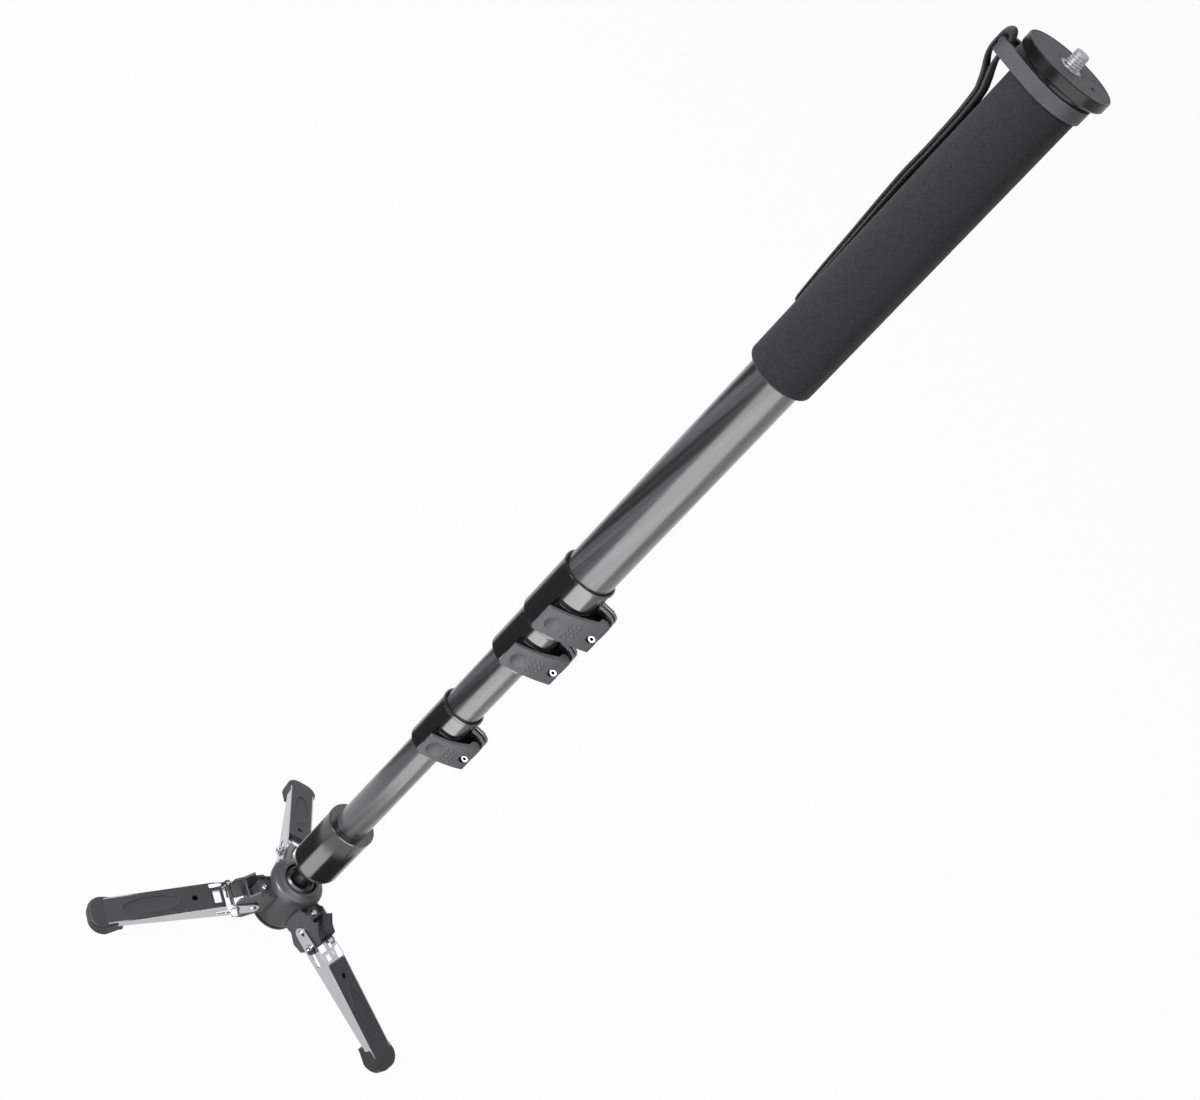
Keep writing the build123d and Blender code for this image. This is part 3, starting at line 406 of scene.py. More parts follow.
def webbing(tones, rib):
    """Woven polyester webbing: black ribs along its length, crossed by fine threads."""
    material, tree, output = new_material("woven_polyester_webbing")
    # The UV map is in millimetres: X across the strap, Y along it. Real threads are about 0.4 mm
    # apart and are drawn 0.9 mm apart, so that they show; they lean by one thread from rib to rib
    place = add(tree, "ShaderNodeUVMap")
    split = add(tree, "ShaderNodeSeparateXYZ", links={"Vector": place.outputs["UV"]})
    lean = add(tree, "ShaderNodeMath", {"operation": "MULTIPLY"}, {1: 2 * math.pi / (rib / MM)},
               {0: split.outputs["X"]})
    thread = add(tree, "ShaderNodeMath", {"operation": "MULTIPLY_ADD"}, {1: 2 * math.pi / 0.9},
                 {0: split.outputs["Y"], 2: lean.outputs[0]})
    wave = add(tree, "ShaderNodeMath", {"operation": "SINE"}, links={0: thread.outputs[0]})
    height = spread(tree, wave.outputs[0], 0.0, 1.0, source_low=-1.0)
    bump = add(tree, "ShaderNodeBump", inputs={"Strength": 0.9, "Distance": 0.3 * MM},
               links={"Height": height})
    finish_material(tree, output, {"IOR": 1.5, "Specular IOR Level": 0.3, "Roughness": 0.6,
                                   "Sheen Weight": 0.2, "Sheen Roughness": 0.4},
                    # The tone follows the bump's height: painted shade between the threads, the
                    # paler tone on their tops
                    {"Base Color": two_tones(tree, height, tones, 0.1, 0.9),
                     "Normal": bump.outputs["Normal"]})
    return material


MATERIALS = {}
LEGS, LOCKS = "abc", (1, 2, 3)


def each(pattern, marks):
    """The names that a pattern gives for some marks."""
    return [pattern.format(mark) for mark in marks]


NODE_FINISHES = {
    "powder": ["hub_barrel", "hub_cap", *each("leg_bracket_{}", LEGS)],
    "chrome": ["leg_pivot_rivets", "bracket_screws", *each("leg_{}_channel", LEGS),
               *each("lock_pin_{}", LEGS), *each("lock_{}_bolt", LOCKS)],
    "cover": each("leg_{}_cover", LEGS),
    "foot": each("leg_{}_foot", LEGS),
    "ring": ["strap_ring"],
    "gloss": ["base_sleeve", "sleeve_top_ring", *each("lock_{}_collar", LOCKS)],
    "satin": ["head_insert", "head_collar", "top_plate"],
    "carbon": each("tube_{}", (1, 2, 3, 4)),
    "pad": ["plate_pad"],
    "dark_steel": ["hub_screw", "hub_base_plate", "stem_retainer", "stem_screw", "set_screw",
                   "ball_stem", *each("lock_{}_barrel", LOCKS)],
    "bearing": ["ball_seat_ring", "pan_bearing", *each("tube_{}_guide", (2, 3, 4)),
                *each("lock_{}_shim", LOCKS)],
}


# What a user may change


class MonopodSizes(PropertyGroup):
    """Sizes and light that a user may change."""

    thread_pitch: FloatProperty(
        name="Thread pitch", description="Pitch of the camera screw's thread",
        default=1.5875 * MM, unit="LENGTH")
    rib_pitch: FloatProperty(
        name="Rib pitch", description="Distance between the strap's woven ribs",
        default=1.7 * MM, unit="LENGTH")
    strap_width: FloatProperty(
        name="Strap width", description="Width of the wrist strap's webbing",
        default=13.5 * MM, unit="LENGTH")
    dot_radius: FloatProperty(
        name="Dot radius", description="Radius of the raised dots on the levers",
        default=0.95 * MM, unit="LENGTH")
    dot_columns: IntProperty(
        name="Dot columns", description="Columns of dots on each lever", default=3, min=1)
    dot_rows: IntProperty(
        name="Dot rows", description="Rows of dots on each lever", default=4, min=1)
    light_power: FloatProperty(
        name="Light", description="Power of the main soft light", default=54.0, unit="POWER")


def colour_of(name, description, hex_code):
    """A colour that a user may change, which starts from sRGB hex text."""
    return FloatVectorProperty(name=name, description=description, subtype="COLOR",
                               default=linear(hex_code), min=0.0, max=1.0)


class MonopodColours(PropertyGroup):
    """The darker and the paler tone of each surface that a user may recolour."""

    hub_dark: colour_of("Hub, darker", "Darker tone of the hub's powder coat", "3a3a3c")
    hub_pale: colour_of("Hub, paler", "Paler tone of the hub's powder coat", "434345")
    cover_dark: colour_of("Covers, darker", "Darker tone of the legs' covers", "2a2a2c")
    cover_pale: colour_of("Covers, paler", "Paler tone of the legs' covers", "333335")
    lever_dark: colour_of("Levers, darker", "Darker tone of the thumb levers", "4c4c4f")
    lever_pale: colour_of("Levers, paler", "Paler tone of the thumb levers", "565659")
    carbon_dark: colour_of("Tubes, darker", "Darker streaks of the carbon tubes", "121213")
    carbon_pale: colour_of("Tubes, paler", "Paler streaks of the carbon tubes", "444446")
    # The grip's darker tone goes into the foam's pits as painted shade
    grip_dark: colour_of("Grip, darker", "Darker tone of the foam, in its pits", "1a1a1b")
    grip_pale: colour_of("Grip, paler", "Paler tone of the foam, between its pits", "29292b")
    # The strap's darker tone lies between its threads as painted shade
    strap_dark: colour_of("Strap, darker", "Darker tone of the strap, between threads", "131314")
    strap_pale: colour_of("Strap, paler", "Paler tone of the strap, on its threads", "3c3c3e")

    def pair(self, surface):
        """A surface's darker and paler tone, with full opacity."""
        return [(*getattr(self, f"{surface}_{end}"), 1.0) for end in ("dark", "pale")]


# One operator for each group of pieces, and one for the stage


class MONOPOD_OT_materials(Operator):
    """Make the materials and give them to the frame's nodes"""

    bl_idname = "monopod.materials"
    bl_label = "Materials"

    def execute(self, context):
        pair = context.scene.monopod_colours.pair
        foot, ring = (rgba("252527"), rgba("2e2e30")), (rgba("343436"), rgba("3c3c3e"))
        acetal = (rgba("141415"), rgba("1a1a1c"))
        MATERIALS.update(
            powder=powder_coat(pair("hub")), chrome=chrome_plate(), gloss=gloss_black(),
            carbon=carbon_tube(pair("carbon")), foam=foam_rubber(pair("grip")), pad=pad_rubber(),
            webbing=webbing(pair("strap"), context.scene.monopod_sizes.rib_pitch),
            cover=moulded_nylon("moulded_nylon_fine_grain", pair("cover"), (0.45, 0.6)),
            foot=moulded_nylon("moulded_rubber_cap", foot, (0.4, 0.55), 0.6 * MM, "454547"),
            ring=moulded_nylon("moulded_ring_nylon", ring, (0.5, 0.62)),
            lever=moulded_nylon("moulded_lever_nylon", pair("lever"), (0.45, 0.6), worn="7c7c7e"),
            bearing=moulded_nylon("moulded_acetal", acetal, (0.4, 0.5), worn="222223"),
            dark_steel=steel("blackened_machined_steel", "4a4a4c", (0.3, 0.45)),
            # Painted shade: the shadow material is near-black steel laid where shade falls, below
            # the top of the camera screw's flange, round the levers' bolts, in the bolts' hexagon
            # sockets and on the screw heads deep in the covers
            shadow=steel("painted_shade_near_black_steel", "101011", (0.5, 0.6)),
            satin=satin_black(),
            thread_steel=steel("zinc_plated_rolled_thread", "9c9c9f", (0.42, 0.52), rounded=0.0))
        for finish, names in NODE_FINISHES.items():
            for name in names:
                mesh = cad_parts[name].data
                mesh.materials.clear()
                mesh.materials.append(MATERIALS[finish])
        return {"FINISHED"}


class MONOPOD_OT_camera_screw(Operator):
    """Camera stud with its real thread on the slotted flange"""

    bl_idname = "monopod.camera_screw"
    bl_label = "Camera screw"

    # The threaded end: its radius, its thread's depth and the chamfer at its tip
    RADIUS, DEPTH, CHAMFER = 4.7625 * MM, 0.62 * MM, 0.9 * MM
    # Heights of the flange's top and the stud's tip, and how deep in the flange the thread starts
    FLANGE, TIP, ROOT = 871.3 * MM, 881.1 * MM, 0.3 * MM
    SEGMENTS, SLICES = 64, 16  # vertices in a ring, and rings in one turn of the thread
    # The bright ring round the thread's foot, as (radius, height) in millimetres
    FOOT = ((6.5, 871.2), (6.5, 871.5), (6.1, 871.75), (4.6, 871.8))

    def execute(self, context):
        pitch = context.scene.monopod_sizes.thread_pitch
        bm = node_bmesh("camera_screw")
        plain_end = [v for v in bm.verts if v.co.z > self.FLANGE + 0.01 * MM]
        bmesh.ops.delete(bm, geom=plain_end, context="VERTS")
        count = int((self.TIP - self.FLANGE) / pitch * self.SLICES)
        start, length = self.FLANGE - self.ROOT, self.TIP - self.FLANGE + self.ROOT
        rows = [self.thread_ring(bm, start + length * j / count, pitch) for j in range(count + 1)]
        skin(bm, rows, around=True)
        bm.faces.new(rows[-1])
        # Painted shade: every face more than 0.2 mm below the flange's top, its slots among them,
        # gets the near-black shadow steel; the flange's top gets the blackened steel
        for face in bm.faces:
            place = face.calc_center_median()
            if place.z < self.FLANGE - 0.2 * MM:
                face.material_index = 2
            elif place.z < self.FLANGE + 0.01 * MM:
                face.material_index = 1
        skin(bm, [ring_of(bm, r * MM, z * MM, self.SEGMENTS) for r, z in self.FOOT], around=True)
        bmesh.ops.recalc_face_normals(bm, faces=bm.faces)
        screw = piece_from(bm, "camera_screw_threaded", MATERIALS["thread_steel"], "section_1",
                           sharp=70)
        screw.data.materials.append(MATERIALS["dark_steel"])
        screw.data.materials.append(MATERIALS["shadow"])
        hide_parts("camera_screw")
        return {"FINISHED"}

    def thread_ring(self, bm, height, pitch):
        """One ring of vertices at a height, which dips once into the thread's valley."""
        row = []
        chamfer = max(0.0, self.CHAMFER - (self.TIP - height))
        for i, turn in enumerate(circle(self.SEGMENTS)):
            phase = (height / pitch - i / self.SEGMENTS) % 1.0
            valley = self.DEPTH * (0.5 - 0.5 * math.cos(2 * math.pi * phase)) ** 0.8
            r = min(self.RADIUS - valley, self.RADIUS - chamfer)
            row.append(bm.verts.new((r * math.cos(turn), r * math.sin(turn), height)))
        return row


class MONOPOD_OT_levers(Operator):
    """Thumb levers with their thumb dimples and rows of raised dots"""

    bl_idname = "monopod.levers"
    bl_label = "Levers"

    LONG_TURN = 31.6  # degrees from +X to the levers' long direction
    TAPER = 4.5 * MM  # how much lower the free end's upper corner is
    # Each dimple's place along its lever's face from the pole's axis, in millimetres
    DIMPLES = {1: -8.6, 2: -7.45, 3: -6.3}
    DIMPLE_RADIUS, DIMPLE_DEPTH = 6.0 * MM, 2.2 * MM
    PAST_DIMPLE = 6.6 * MM  # where the face beside the dimple is felt for
    BALL_LIFT = 0.15 * MM  # the cutter's lift off the line between those two places
    # The dots' middle and spacing along the face, and the rows' spacing as a share of its height
    DOT_MIDDLE, DOT_SPACING, ROW_SHARE = 5.3 * MM, 3.5 * MM, 0.157
    RECESS, SOCKET = 3.35 * MM, 1.45 * MM  # radii of the bolt's dark recess and hexagon socket
    RECESS_INSIDE = 3 * MM  # the recess's faces lie at least this far out from the bolt's middle
    OUTSIDE = 60 * MM  # a distance from the pole's axis outside every lever

    # A dot's outline from its foot to its top: shares of its radius (outwards, upwards)
    DOT_OUTLINE = ((1.0, -0.25), (1.0, 0.2), (0.9, 0.5), (0.62, 0.78), (0.25, 0.9))
    DOT_SEGMENTS = 14

    def execute(self, context):
        sizes = context.scene.monopod_sizes
        turn = Matrix.Rotation(math.radians(self.LONG_TURN), 4, "Z")
        outward = (turn @ Vector((0, -1, 0))).normalized()
        for number in LOCKS:
            node = f"lever_{number}"
            bm = node_bmesh(node)
            low = min(v.co.z for v in bm.verts)
            high = max(v.co.z for v in bm.verts)
            middle = (low + high - self.TAPER) / 2
            surface = BVHTree.FromBMesh(bm)

            def face_point(along, height):
                start = turn @ Vector((along, -self.OUTSIDE, height))
                return surface.ray_cast(start, -outward)[:2]

            dimple = self.DIMPLES[number] * MM
            before, after = (face_point(dimple + reach, middle)[0]
                             for reach in (-self.PAST_DIMPLE, self.PAST_DIMPLE))
            ball = (self.DIMPLE_RADIUS ** 2 + self.DIMPLE_DEPTH ** 2) / (2 * self.DIMPLE_DEPTH)
            lift = ball - self.DIMPLE_DEPTH + self.BALL_LIFT
            bm = cut_away(bm, ball_at((before + after) / 2 + outward * lift, ball))
            for column in range(sizes.dot_columns):
                along = self.DOT_MIDDLE + (column - (sizes.dot_columns - 1) / 2) * self.DOT_SPACING
                for row in range(sizes.dot_rows):
                    rows_up = row - (sizes.dot_rows - 1) / 2
                    height = middle + rows_up * (high - low) * self.ROW_SHARE
                    place, normal = face_point(along, height)
                    self.dot(bm, place, normal, sizes.dot_radius)
            bmesh.ops.recalc_face_normals(bm, faces=bm.faces)
            low_bolt, high_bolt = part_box(f"lock_{number}_bolt")
            bolt = (low_bolt + high_bolt) / 2
            # Painted shade: the lever's faces round the bolt, in its recess, get the near-black
            # shadow steel
            for face in bm.faces:
                place = face.calc_center_median()
                if self.near(place, bolt, self.RECESS) and place.y < bolt.y - self.RECESS_INSIDE:
                    face.material_index = 1
            lever = piece_from(bm, f"thumb_lever_{number}", MATERIALS["lever"],
                               f"lock_lever_{number}", sharp=32)
            lever.data.materials.append(MATERIALS["shadow"])
            self.darken_socket(f"lock_{number}_bolt", bolt)
            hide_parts(node)
        return {"FINISHED"}

    @staticmethod
    def near(place, axis, radius):
        """Whether a place is within a radius of the bolt's axis, which runs along Y."""
        return math.hypot(place.x - axis.x, place.z - axis.z) < radius

    def darken_socket(self, name, axis):
        """Paints shade into the bolt's hexagon socket with the near-black shadow steel."""
        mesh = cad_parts[name].data
        mesh.materials.append(MATERIALS["shadow"])
        for polygon in mesh.polygons:
            if self.near(polygon.center, axis, self.SOCKET) and polygon.center.y < axis.y:
                polygon.material_index = 1

    def dot(self, bm, place, normal, radius):
        """A low dome that stands on a surface."""
        stand = Matrix.Translation(place) @ normal.to_track_quat("Z", "Y").to_matrix().to_4x4()
        rows = []
        for out, up in self.DOT_OUTLINE:
            points = [(radius * out * math.cos(t), radius * out * math.sin(t), radius * up)
                      for t in circle(self.DOT_SEGMENTS)]
            rows.append([bm.verts.new(stand @ Vector(point)) for point in points])
        skin(bm, rows, around=True)
        cap_ends(bm, rows)


class MONOPOD_OT_collars(Operator):
    """Clamp collars, whose lugs have rounded upper corners"""

    bl_idname = "monopod.collars"
    bl_label = "Collars"

    ROUND = 5.0 * MM  # radius of a lug's upper corner
    PAST = 1 * MM  # how far the cutter stands out past the lug
    HALF_LENGTH = 60 * MM  # half the cutter's length, longer than any lug is thick

    def execute(self, context):
        for number in LOCKS:
            node = f"lock_{number}_collar"
            bm = node_bmesh(node)
            reach = max(v.co.x for v in bm.verts)
            top = max(v.co.z for v in bm.verts if v.co.x > reach - 0.5 * MM)
            out, over = reach + self.PAST, top + self.PAST
            middle, foot = reach - self.ROUND, top - self.ROUND
            outline = [(out, over), (middle, over),
                       *corner(middle, foot, self.ROUND, 90, 0, steps=10), (out, foot)]
            bm = cut_away(bm, prism(outline, -self.HALF_LENGTH, self.HALF_LENGTH))
            collar = piece_from(bm, f"lock_{number}_round_collar", MATERIALS["gloss"],
                                f"section_{number}", sharp=30)
            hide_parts(node)
        return {"FINISHED"}


class MONOPOD_OT_grip(Operator):
    """Foam grip with soft rims and a slightly uneven ground surface"""

    bl_idname = "monopod.grip"
    bl_label = "Foam grip"

    RADIUS, BORE = 22.95 * MM, 18.02 * MM
    SOFT_LOW, SOFT_HIGH = 3.2 * MM, 1.6 * MM  # radii of the lower and the upper rim
    STEPS, SEGMENTS = 70, 96  # rings along the side, and vertices in a ring
    # Unevenness of the ground surface: how many waves in a metre, and how deep
    UNEVEN = ((55, 0.12 * MM), (260, 0.05 * MM))

    def execute(self, context):
        low, high = (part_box("foam_grip")[k][2] for k in (0, 1))
        side_low, side_high = low + self.SOFT_LOW, high - self.SOFT_HIGH
        side = high - low - self.SOFT_LOW - self.SOFT_HIGH
        profile = [(self.BORE, low)]
        profile += corner(self.RADIUS - self.SOFT_LOW, side_low, self.SOFT_LOW, -90, 0)
        profile += [(self.RADIUS, side_low + side * j / self.STEPS) for j in range(1, self.STEPS)]
        profile += corner(self.RADIUS - self.SOFT_HIGH, side_high, self.SOFT_HIGH, 0, 90)
        profile += [(self.BORE, high)]
        bm = bmesh.new()
        rows = [ring_of(bm, r, z, self.SEGMENTS) for r, z in profile]
        skin(bm, rows, around=True, along=True)
        for vert in bm.verts:
            outside = Vector((vert.co.x, vert.co.y, 0))
            if outside.length > self.BORE + 0.5 * MM:
                uneven = sum(noise.noise(vert.co * waves) * depth for waves, depth in self.UNEVEN)
                vert.co -= outside.normalized() * abs(uneven)
        bmesh.ops.recalc_face_normals(bm, faces=bm.faces)
        grip = piece_from(bm, "foam_grip_soft", MATERIALS["foam"], "section_1")
        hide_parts("foam_grip")
        return {"FINISHED"}


class MONOPOD_OT_strap(Operator):
    """Woven wrist strap: a band that loops over the lug's bar and hangs doubled beside the grip"""

    bl_idname = "monopod.strap"
    bl_label = "Wrist strap"

    # Places along the band's middle: degrees round the pole, then the distance from its axis,
    # the height and the band's thickness, in millimetres
    LUG = [(179.5, 32.8, 852.0, 1.9), (180, 32.9, 858.5, 2.0), (180, 33.5, 862.3, 2.7),
           (180, 36.1, 863.9, 4.5), (180, 38.7, 862.3, 2.7), (180, 39.3, 858.5, 2.0),
           (179.5, 39.2, 852.5, 1.9), (178.6, 37.9, 847.6, 2.0)]
    OUTER = [(177.6, 35.5, 843.2, 2.4), (176.2, 32.9, 838.9, 2.7), (174, 30.3, 833.0, 2.7),
             (172, 28.6, 827.2, 2.7), (167, 27.4, 810.3, 2.7), (163, 27.3, 785.6, 2.7),
             (160, 28.0, 766.6, 2.7), (156, 27.7, 745.7, 2.7), (150, 27.3, 719.1, 2.7),
             (144, 27.3, 690.6, 2.7), (139, 27.2, 668.0, 2.5)]
    END = [(138, 26.8, 664.1, 2.1), (138, 25.95, 662.9, 1.8), (138, 25.1, 664.1, 2.1)]
    INNER = [(139, 24.7, 668.0, 2.5), (144, 24.7, 690.6, 2.7), (150, 24.7, 719.1, 2.7),
             (156, 25.0, 745.7, 2.7), (160, 25.3, 766.6, 2.7), (163, 24.7, 785.6, 2.7),
             (167, 24.8, 810.3, 2.7), (172, 26.0, 828.0, 2.7), (174, 27.7, 834.6, 2.7),
             (176.2, 30.2, 841.0, 2.6), (178, 32.0, 846.4, 2.2)]
    CURVE_STEPS = 7  # smooth places made between two places above
    WIDTH_STEPS = 48  # places across each face of the band
    MIDDLE_SWELL, RIB_SWELL = 0.78, 0.22  # shares of the thickness: the band's own, and its ribs'
    EDGE_POWER, EDGE_SHARE = 14, 0.35  # how late the edge rounds off, and what is left of it there

    def execute(self, context):
        sizes = context.scene.monopod_sizes
        across = self.section(sizes.strap_width, sizes.rib_pitch)
        places = self.smooth([*self.LUG, *self.OUTER, *self.END, *self.INNER])
        bm = bmesh.new()
        rows, lengths = [], [0.0]
        for j, (turn, thickness, point) in enumerate(places):
            after = places[(j + 1) % len(places)][-1]
            ahead = (after - places[j - 1][-1]).normalized()
            side = Vector((-math.sin(turn), math.cos(turn), 0))
            out = ahead.cross(side).normalized()
            rows.append([bm.verts.new(point + side * w + out * t * thickness) for w, t in across])
            lengths.append(lengths[-1] + (after - point).length)
        faces = skin(bm, rows, around=True, along=True)
        layer = bm.loops.layers.uv.new("UVMap")
        for number, face in enumerate(faces):
            j, i = divmod(number, len(across))
            start, stop = lengths[j], lengths[j + 1]
            here, there = across[i][0], across[(i + 1) % len(across)][0]
            corners = ((here, start), (there, start), (there, stop), (here, stop))
            for loop, uv in zip(face.loops, corners):
                loop[layer].uv = (uv[0] / MM, uv[1] / MM)
        bmesh.ops.recalc_face_normals(bm, faces=bm.faces)
        strap = piece_from(bm, "woven_wrist_strap", MATERIALS["webbing"], "strap_swivel")
        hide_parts("wrist_strap")
        return {"FINISHED"}

    def section(self, width, rib):
        """Points (across, share of the thickness) round the band's flat section, with its ribs."""
        upper = []
        for i in range(self.WIDTH_STEPS + 1):
            w = width * (i / self.WIDTH_STEPS - 0.5)
            swell = self.MIDDLE_SWELL + self.RIB_SWELL * math.cos(2 * math.pi * w / rib)
            edge = math.sqrt(max(0.0, 1 - (abs(w) / (width / 2)) ** self.EDGE_POWER))
            upper.append((w, 0.5 * swell * max(edge, self.EDGE_SHARE)))
        return upper + [(w, -t) for w, t in reversed(upper)]

    def smooth(self, points):
        """A closed smooth curve through the points, as (turn in radians, thickness, place)."""
        result = []
        count = len(points)
        for k in range(count):
            four = [points[(k + m) % count] for m in (-1, 0, 1, 2)]
            for s in range(self.CURVE_STEPS):
                t = s / self.CURVE_STEPS
                turn, reach, height, thickness = (
                    0.5 * (2 * b + (c - a) * t + (2 * a - 5 * b + 4 * c - d) * t ** 2
                           + (3 * b - a - 3 * c + d) * t ** 3) for a, b, c, d in zip(*four))
                turn = math.radians(turn)
                place = Vector((reach * math.cos(turn), reach * math.sin(turn), height)) * MM
                result.append((turn, thickness * MM, place))
        return result


class MONOPOD_OT_cover_details(Operator):
    """Raised rims round the thumb ovals and a screw head in each cover"""

    bl_idname = "monopod.cover_details"
    bl_label = "Cover details"

    # The legs' own axes at rest: degrees to the first leg, the pivot's distance from the pole's
    # axis and its height in millimetres, and the legs' slope down in degrees
    FIRST_LEG, PIVOT_REACH, PIVOT_HEIGHT, SLOPE = -128.9, 30.7, 35.0, 18.0
    # In millimetres on those axes: the oval's middle, its half length and half width, and the
    # height of the cover's face
    OVAL, OVAL_LONG, OVAL_WIDE, FACE = 75.5, 21.5, 6.6, 9.85
    BEAD_WIDE, BEAD_HIGH = 0.65, 0.45  # half width and half height of the rim's bead
    OVAL_STEPS, BEAD_STEPS = 96, 10
    SCREW = 43  # the screw's place along the leg
    # The screw head's outline from its foot to its socket, as (radius, height)
    SCREW_OUTLINE = ((2.2, 7.6), (2.2, 8.2), (1.9, 8.45), (1.15, 8.6), (1.1, 7.9), (0.3, 7.8))
    SCREW_SEGMENTS = 32

    def execute(self, context):
        slope = Matrix.Rotation(math.radians(self.SLOPE), 4, "Y")
        pivot = Matrix.Translation(Vector((self.PIVOT_REACH, 0, self.PIVOT_HEIGHT)) * MM)
        for number, letter in enumerate(LEGS):
            turn = Matrix.Rotation(math.radians(self.FIRST_LEG + 120 * number), 4, "Z")
            stand = turn @ pivot @ slope
            self.rim(stand, letter)
            self.screw(stand, letter)
        return {"FINISHED"}

    def rim(self, stand, letter):
        """A low round bead along the oval's edge."""
        bm = bmesh.new()
        rows = []
        for turn in circle(self.OVAL_STEPS):
            east, north = math.cos(turn), math.sin(turn)
            place = Vector((self.OVAL + self.OVAL_LONG * east, self.OVAL_WIDE * north, self.FACE))
            away = Vector((self.OVAL_WIDE * east, self.OVAL_LONG * north, 0)).normalized()
            side, up = away * self.BEAD_WIDE, Vector((0, 0, self.BEAD_HIGH))
            points = [place + side * math.cos(a) + up * math.sin(a) for a in circle(self.BEAD_STEPS)]
            rows.append([bm.verts.new(stand @ (point * MM)) for point in points])
        skin(bm, rows, around=True, along=True)
        bmesh.ops.recalc_face_normals(bm, faces=bm.faces)
        piece_from(bm, f"thumb_oval_rim_{letter}", MATERIALS["cover"], f"leg_{letter}")

    def screw(self, stand, letter):
        """A countersunk screw head, set well below the cover's face, in the near-black shadow steel
        as painted shade down the cover's hole.
        """
        bm = bmesh.new()
        rows = []
        for r, z in self.SCREW_OUTLINE:
            points = [Vector((self.SCREW + r * math.cos(a), r * math.sin(a), z))
                      for a in circle(self.SCREW_SEGMENTS)]
            rows.append([bm.verts.new(stand @ (point * MM)) for point in points])
        skin(bm, rows, around=True)
        cap_ends(bm, rows)
        piece_from(bm, f"cover_screw_{letter}", MATERIALS["shadow"], f"leg_{letter}",
                   sharp=40)


class MONOPOD_OT_stage(Operator):
    """Add the floor, the lights, the reflector cards and the camera"""

    bl_idname = "monopod.stage"
    bl_label = "Stage"

    WHITE = (1.0, 1.0, 1.0, 1.0)
    FLOOR_HALF, FLOOR_DROP = 14.0, 0.5 * MM  # half the floor's side, and its drop below the feet
    FLOOR_GLOW = 0.96  # how much of the floor's look to the camera is plain white
    AMBIENT = 0.18  # the surroundings' brightness as a light
    # Cards that only reflections see: radius and heights in metres, degrees from the front towards
    # +X, and brightness. They stand close to the pole, so black pieces mirror them as long bands
    CARDS = {
        "bright_card": (0.13, (0.09, 0.9), (-6, 66), 4.6),
        "dark_card": (0.13, (0.09, 0.9), (-122, -6), 0.1),
        "bright_card_low": (0.05, (0.03, 0.088), (-34, 20), 2.8),
        "dark_card_low": (0.05, (0.03, 0.088), (-130, -34), 0.1),
        "dark_card_low_right": (0.05, (0.03, 0.088), (20, 110), 0.1),
    }
    CARD_STEPS = 24
    # Lamps: place, aim, width and height in metres, and the share of the set power
    LAMPS = {
        "key": ((-1.25, -1.35, 1.2), (0, 0, 0.4), (0.35, 0.5), 1.0),
        "left": ((-1.7, 0.2, 1.0), (0, 0, 0.5), (0.9, 1.3), 0.3),
        "front": ((1.0, -1.5, 1.3), (0, 0, 0.3), (0.9, 1.2), 0.1),
        "top": ((0.0, 0.1, 2.6), (0, 0, 0.5), (1.3, 1.3), 0.25),
    }
    # The photograph's camera, fitted to the part: yaw, pitch and roll in degrees, place in metres,
    # and the focal length in pixels of a picture of this width
    YAW_PITCH_ROLL = (-0.326, 30.993, 43.309)
    CAMERA_PLACE = (0, -1.06966, 1.09317)
    FOCAL_PIXELS, PICTURE_PIXELS = 1927.73, 1200
    SENSOR = 36.0  # width of the camera's sensor in millimetres

    def execute(self, context):
        scene = context.scene
        scene.view_settings.view_transform = "Standard"
        self.floor()
        self.world(scene)
        for name, (radius, heights, turns, strength) in self.CARDS.items():
            self.card(name, radius, heights, turns, strength)
        for name, (place, target, size, share) in self.LAMPS.items():
            self.lamp(name, place, target, size, scene.monopod_sizes.light_power * share)
        self.camera(scene)
        return {"FINISHED"}

    @staticmethod
    def background_share(tree):
        """1 for rays from the camera and for mirrored and refracted ones, 0 for others."""
        path = add(tree, "ShaderNodeLightPath")
        seen = path.outputs["Is Camera Ray"]
        for kind in ("Is Glossy Ray", "Is Transmission Ray"):
            seen = add(tree, "ShaderNodeMath", {"operation": "MAXIMUM"},
                       links={0: seen, 1: path.outputs[kind]}).outputs[0]
        return seen

    def floor(self):
        """A wide sheet of pale paper under the feet."""
        half = self.FLOOR_HALF
        mesh = bpy.data.meshes.new("floor")
        corners = [(-half, -half, 0), (half, -half, 0), (half, half, 0), (-half, half, 0)]
        mesh.from_pydata(corners, [], [(0, 1, 2, 3)])
        floor = bpy.data.objects.new("floor", mesh)
        floor.location.z = -self.FLOOR_DROP
        bpy.context.scene.collection.objects.link(floor)
        material, tree, output = new_material("pale_paper_floor")
        paper = add(tree, "ShaderNodeBsdfDiffuse", inputs={"Color": rgba("b4b4b4")})
        glow = add(tree, "ShaderNodeEmission", inputs={"Color": self.WHITE, "Strength": 1.0})
        share = add(tree, "ShaderNodeMath", {"operation": "MULTIPLY"}, {1: self.FLOOR_GLOW},
                    {0: self.background_share(tree)})
        mix = add(tree, "ShaderNodeMixShader",
                  links={"Fac": share.outputs[0], 1: paper.outputs[0], 2: glow.outputs[0]})
        tree.links.new(mix.outputs[0], output.inputs["Surface"])
        mesh.materials.append(material)

    def world(self, scene):
        """White to the camera and to reflections, and a soft even light for the rest."""
        world = bpy.data.worlds.new("studio")
        world.use_nodes = True
        tree = world.node_tree
        tree.nodes.clear()
        output = add(tree, "ShaderNodeOutputWorld")
        light, seen = (add(tree, "ShaderNodeBackground",
                           inputs={"Color": self.WHITE, "Strength": strength}).outputs[0]
                       for strength in (self.AMBIENT, 1.0))
        mix = add(tree, "ShaderNodeMixShader",
                  links={"Fac": self.background_share(tree), 1: light, 2: seen})
        tree.links.new(mix.outputs[0], output.inputs["Surface"])
        scene.world = world

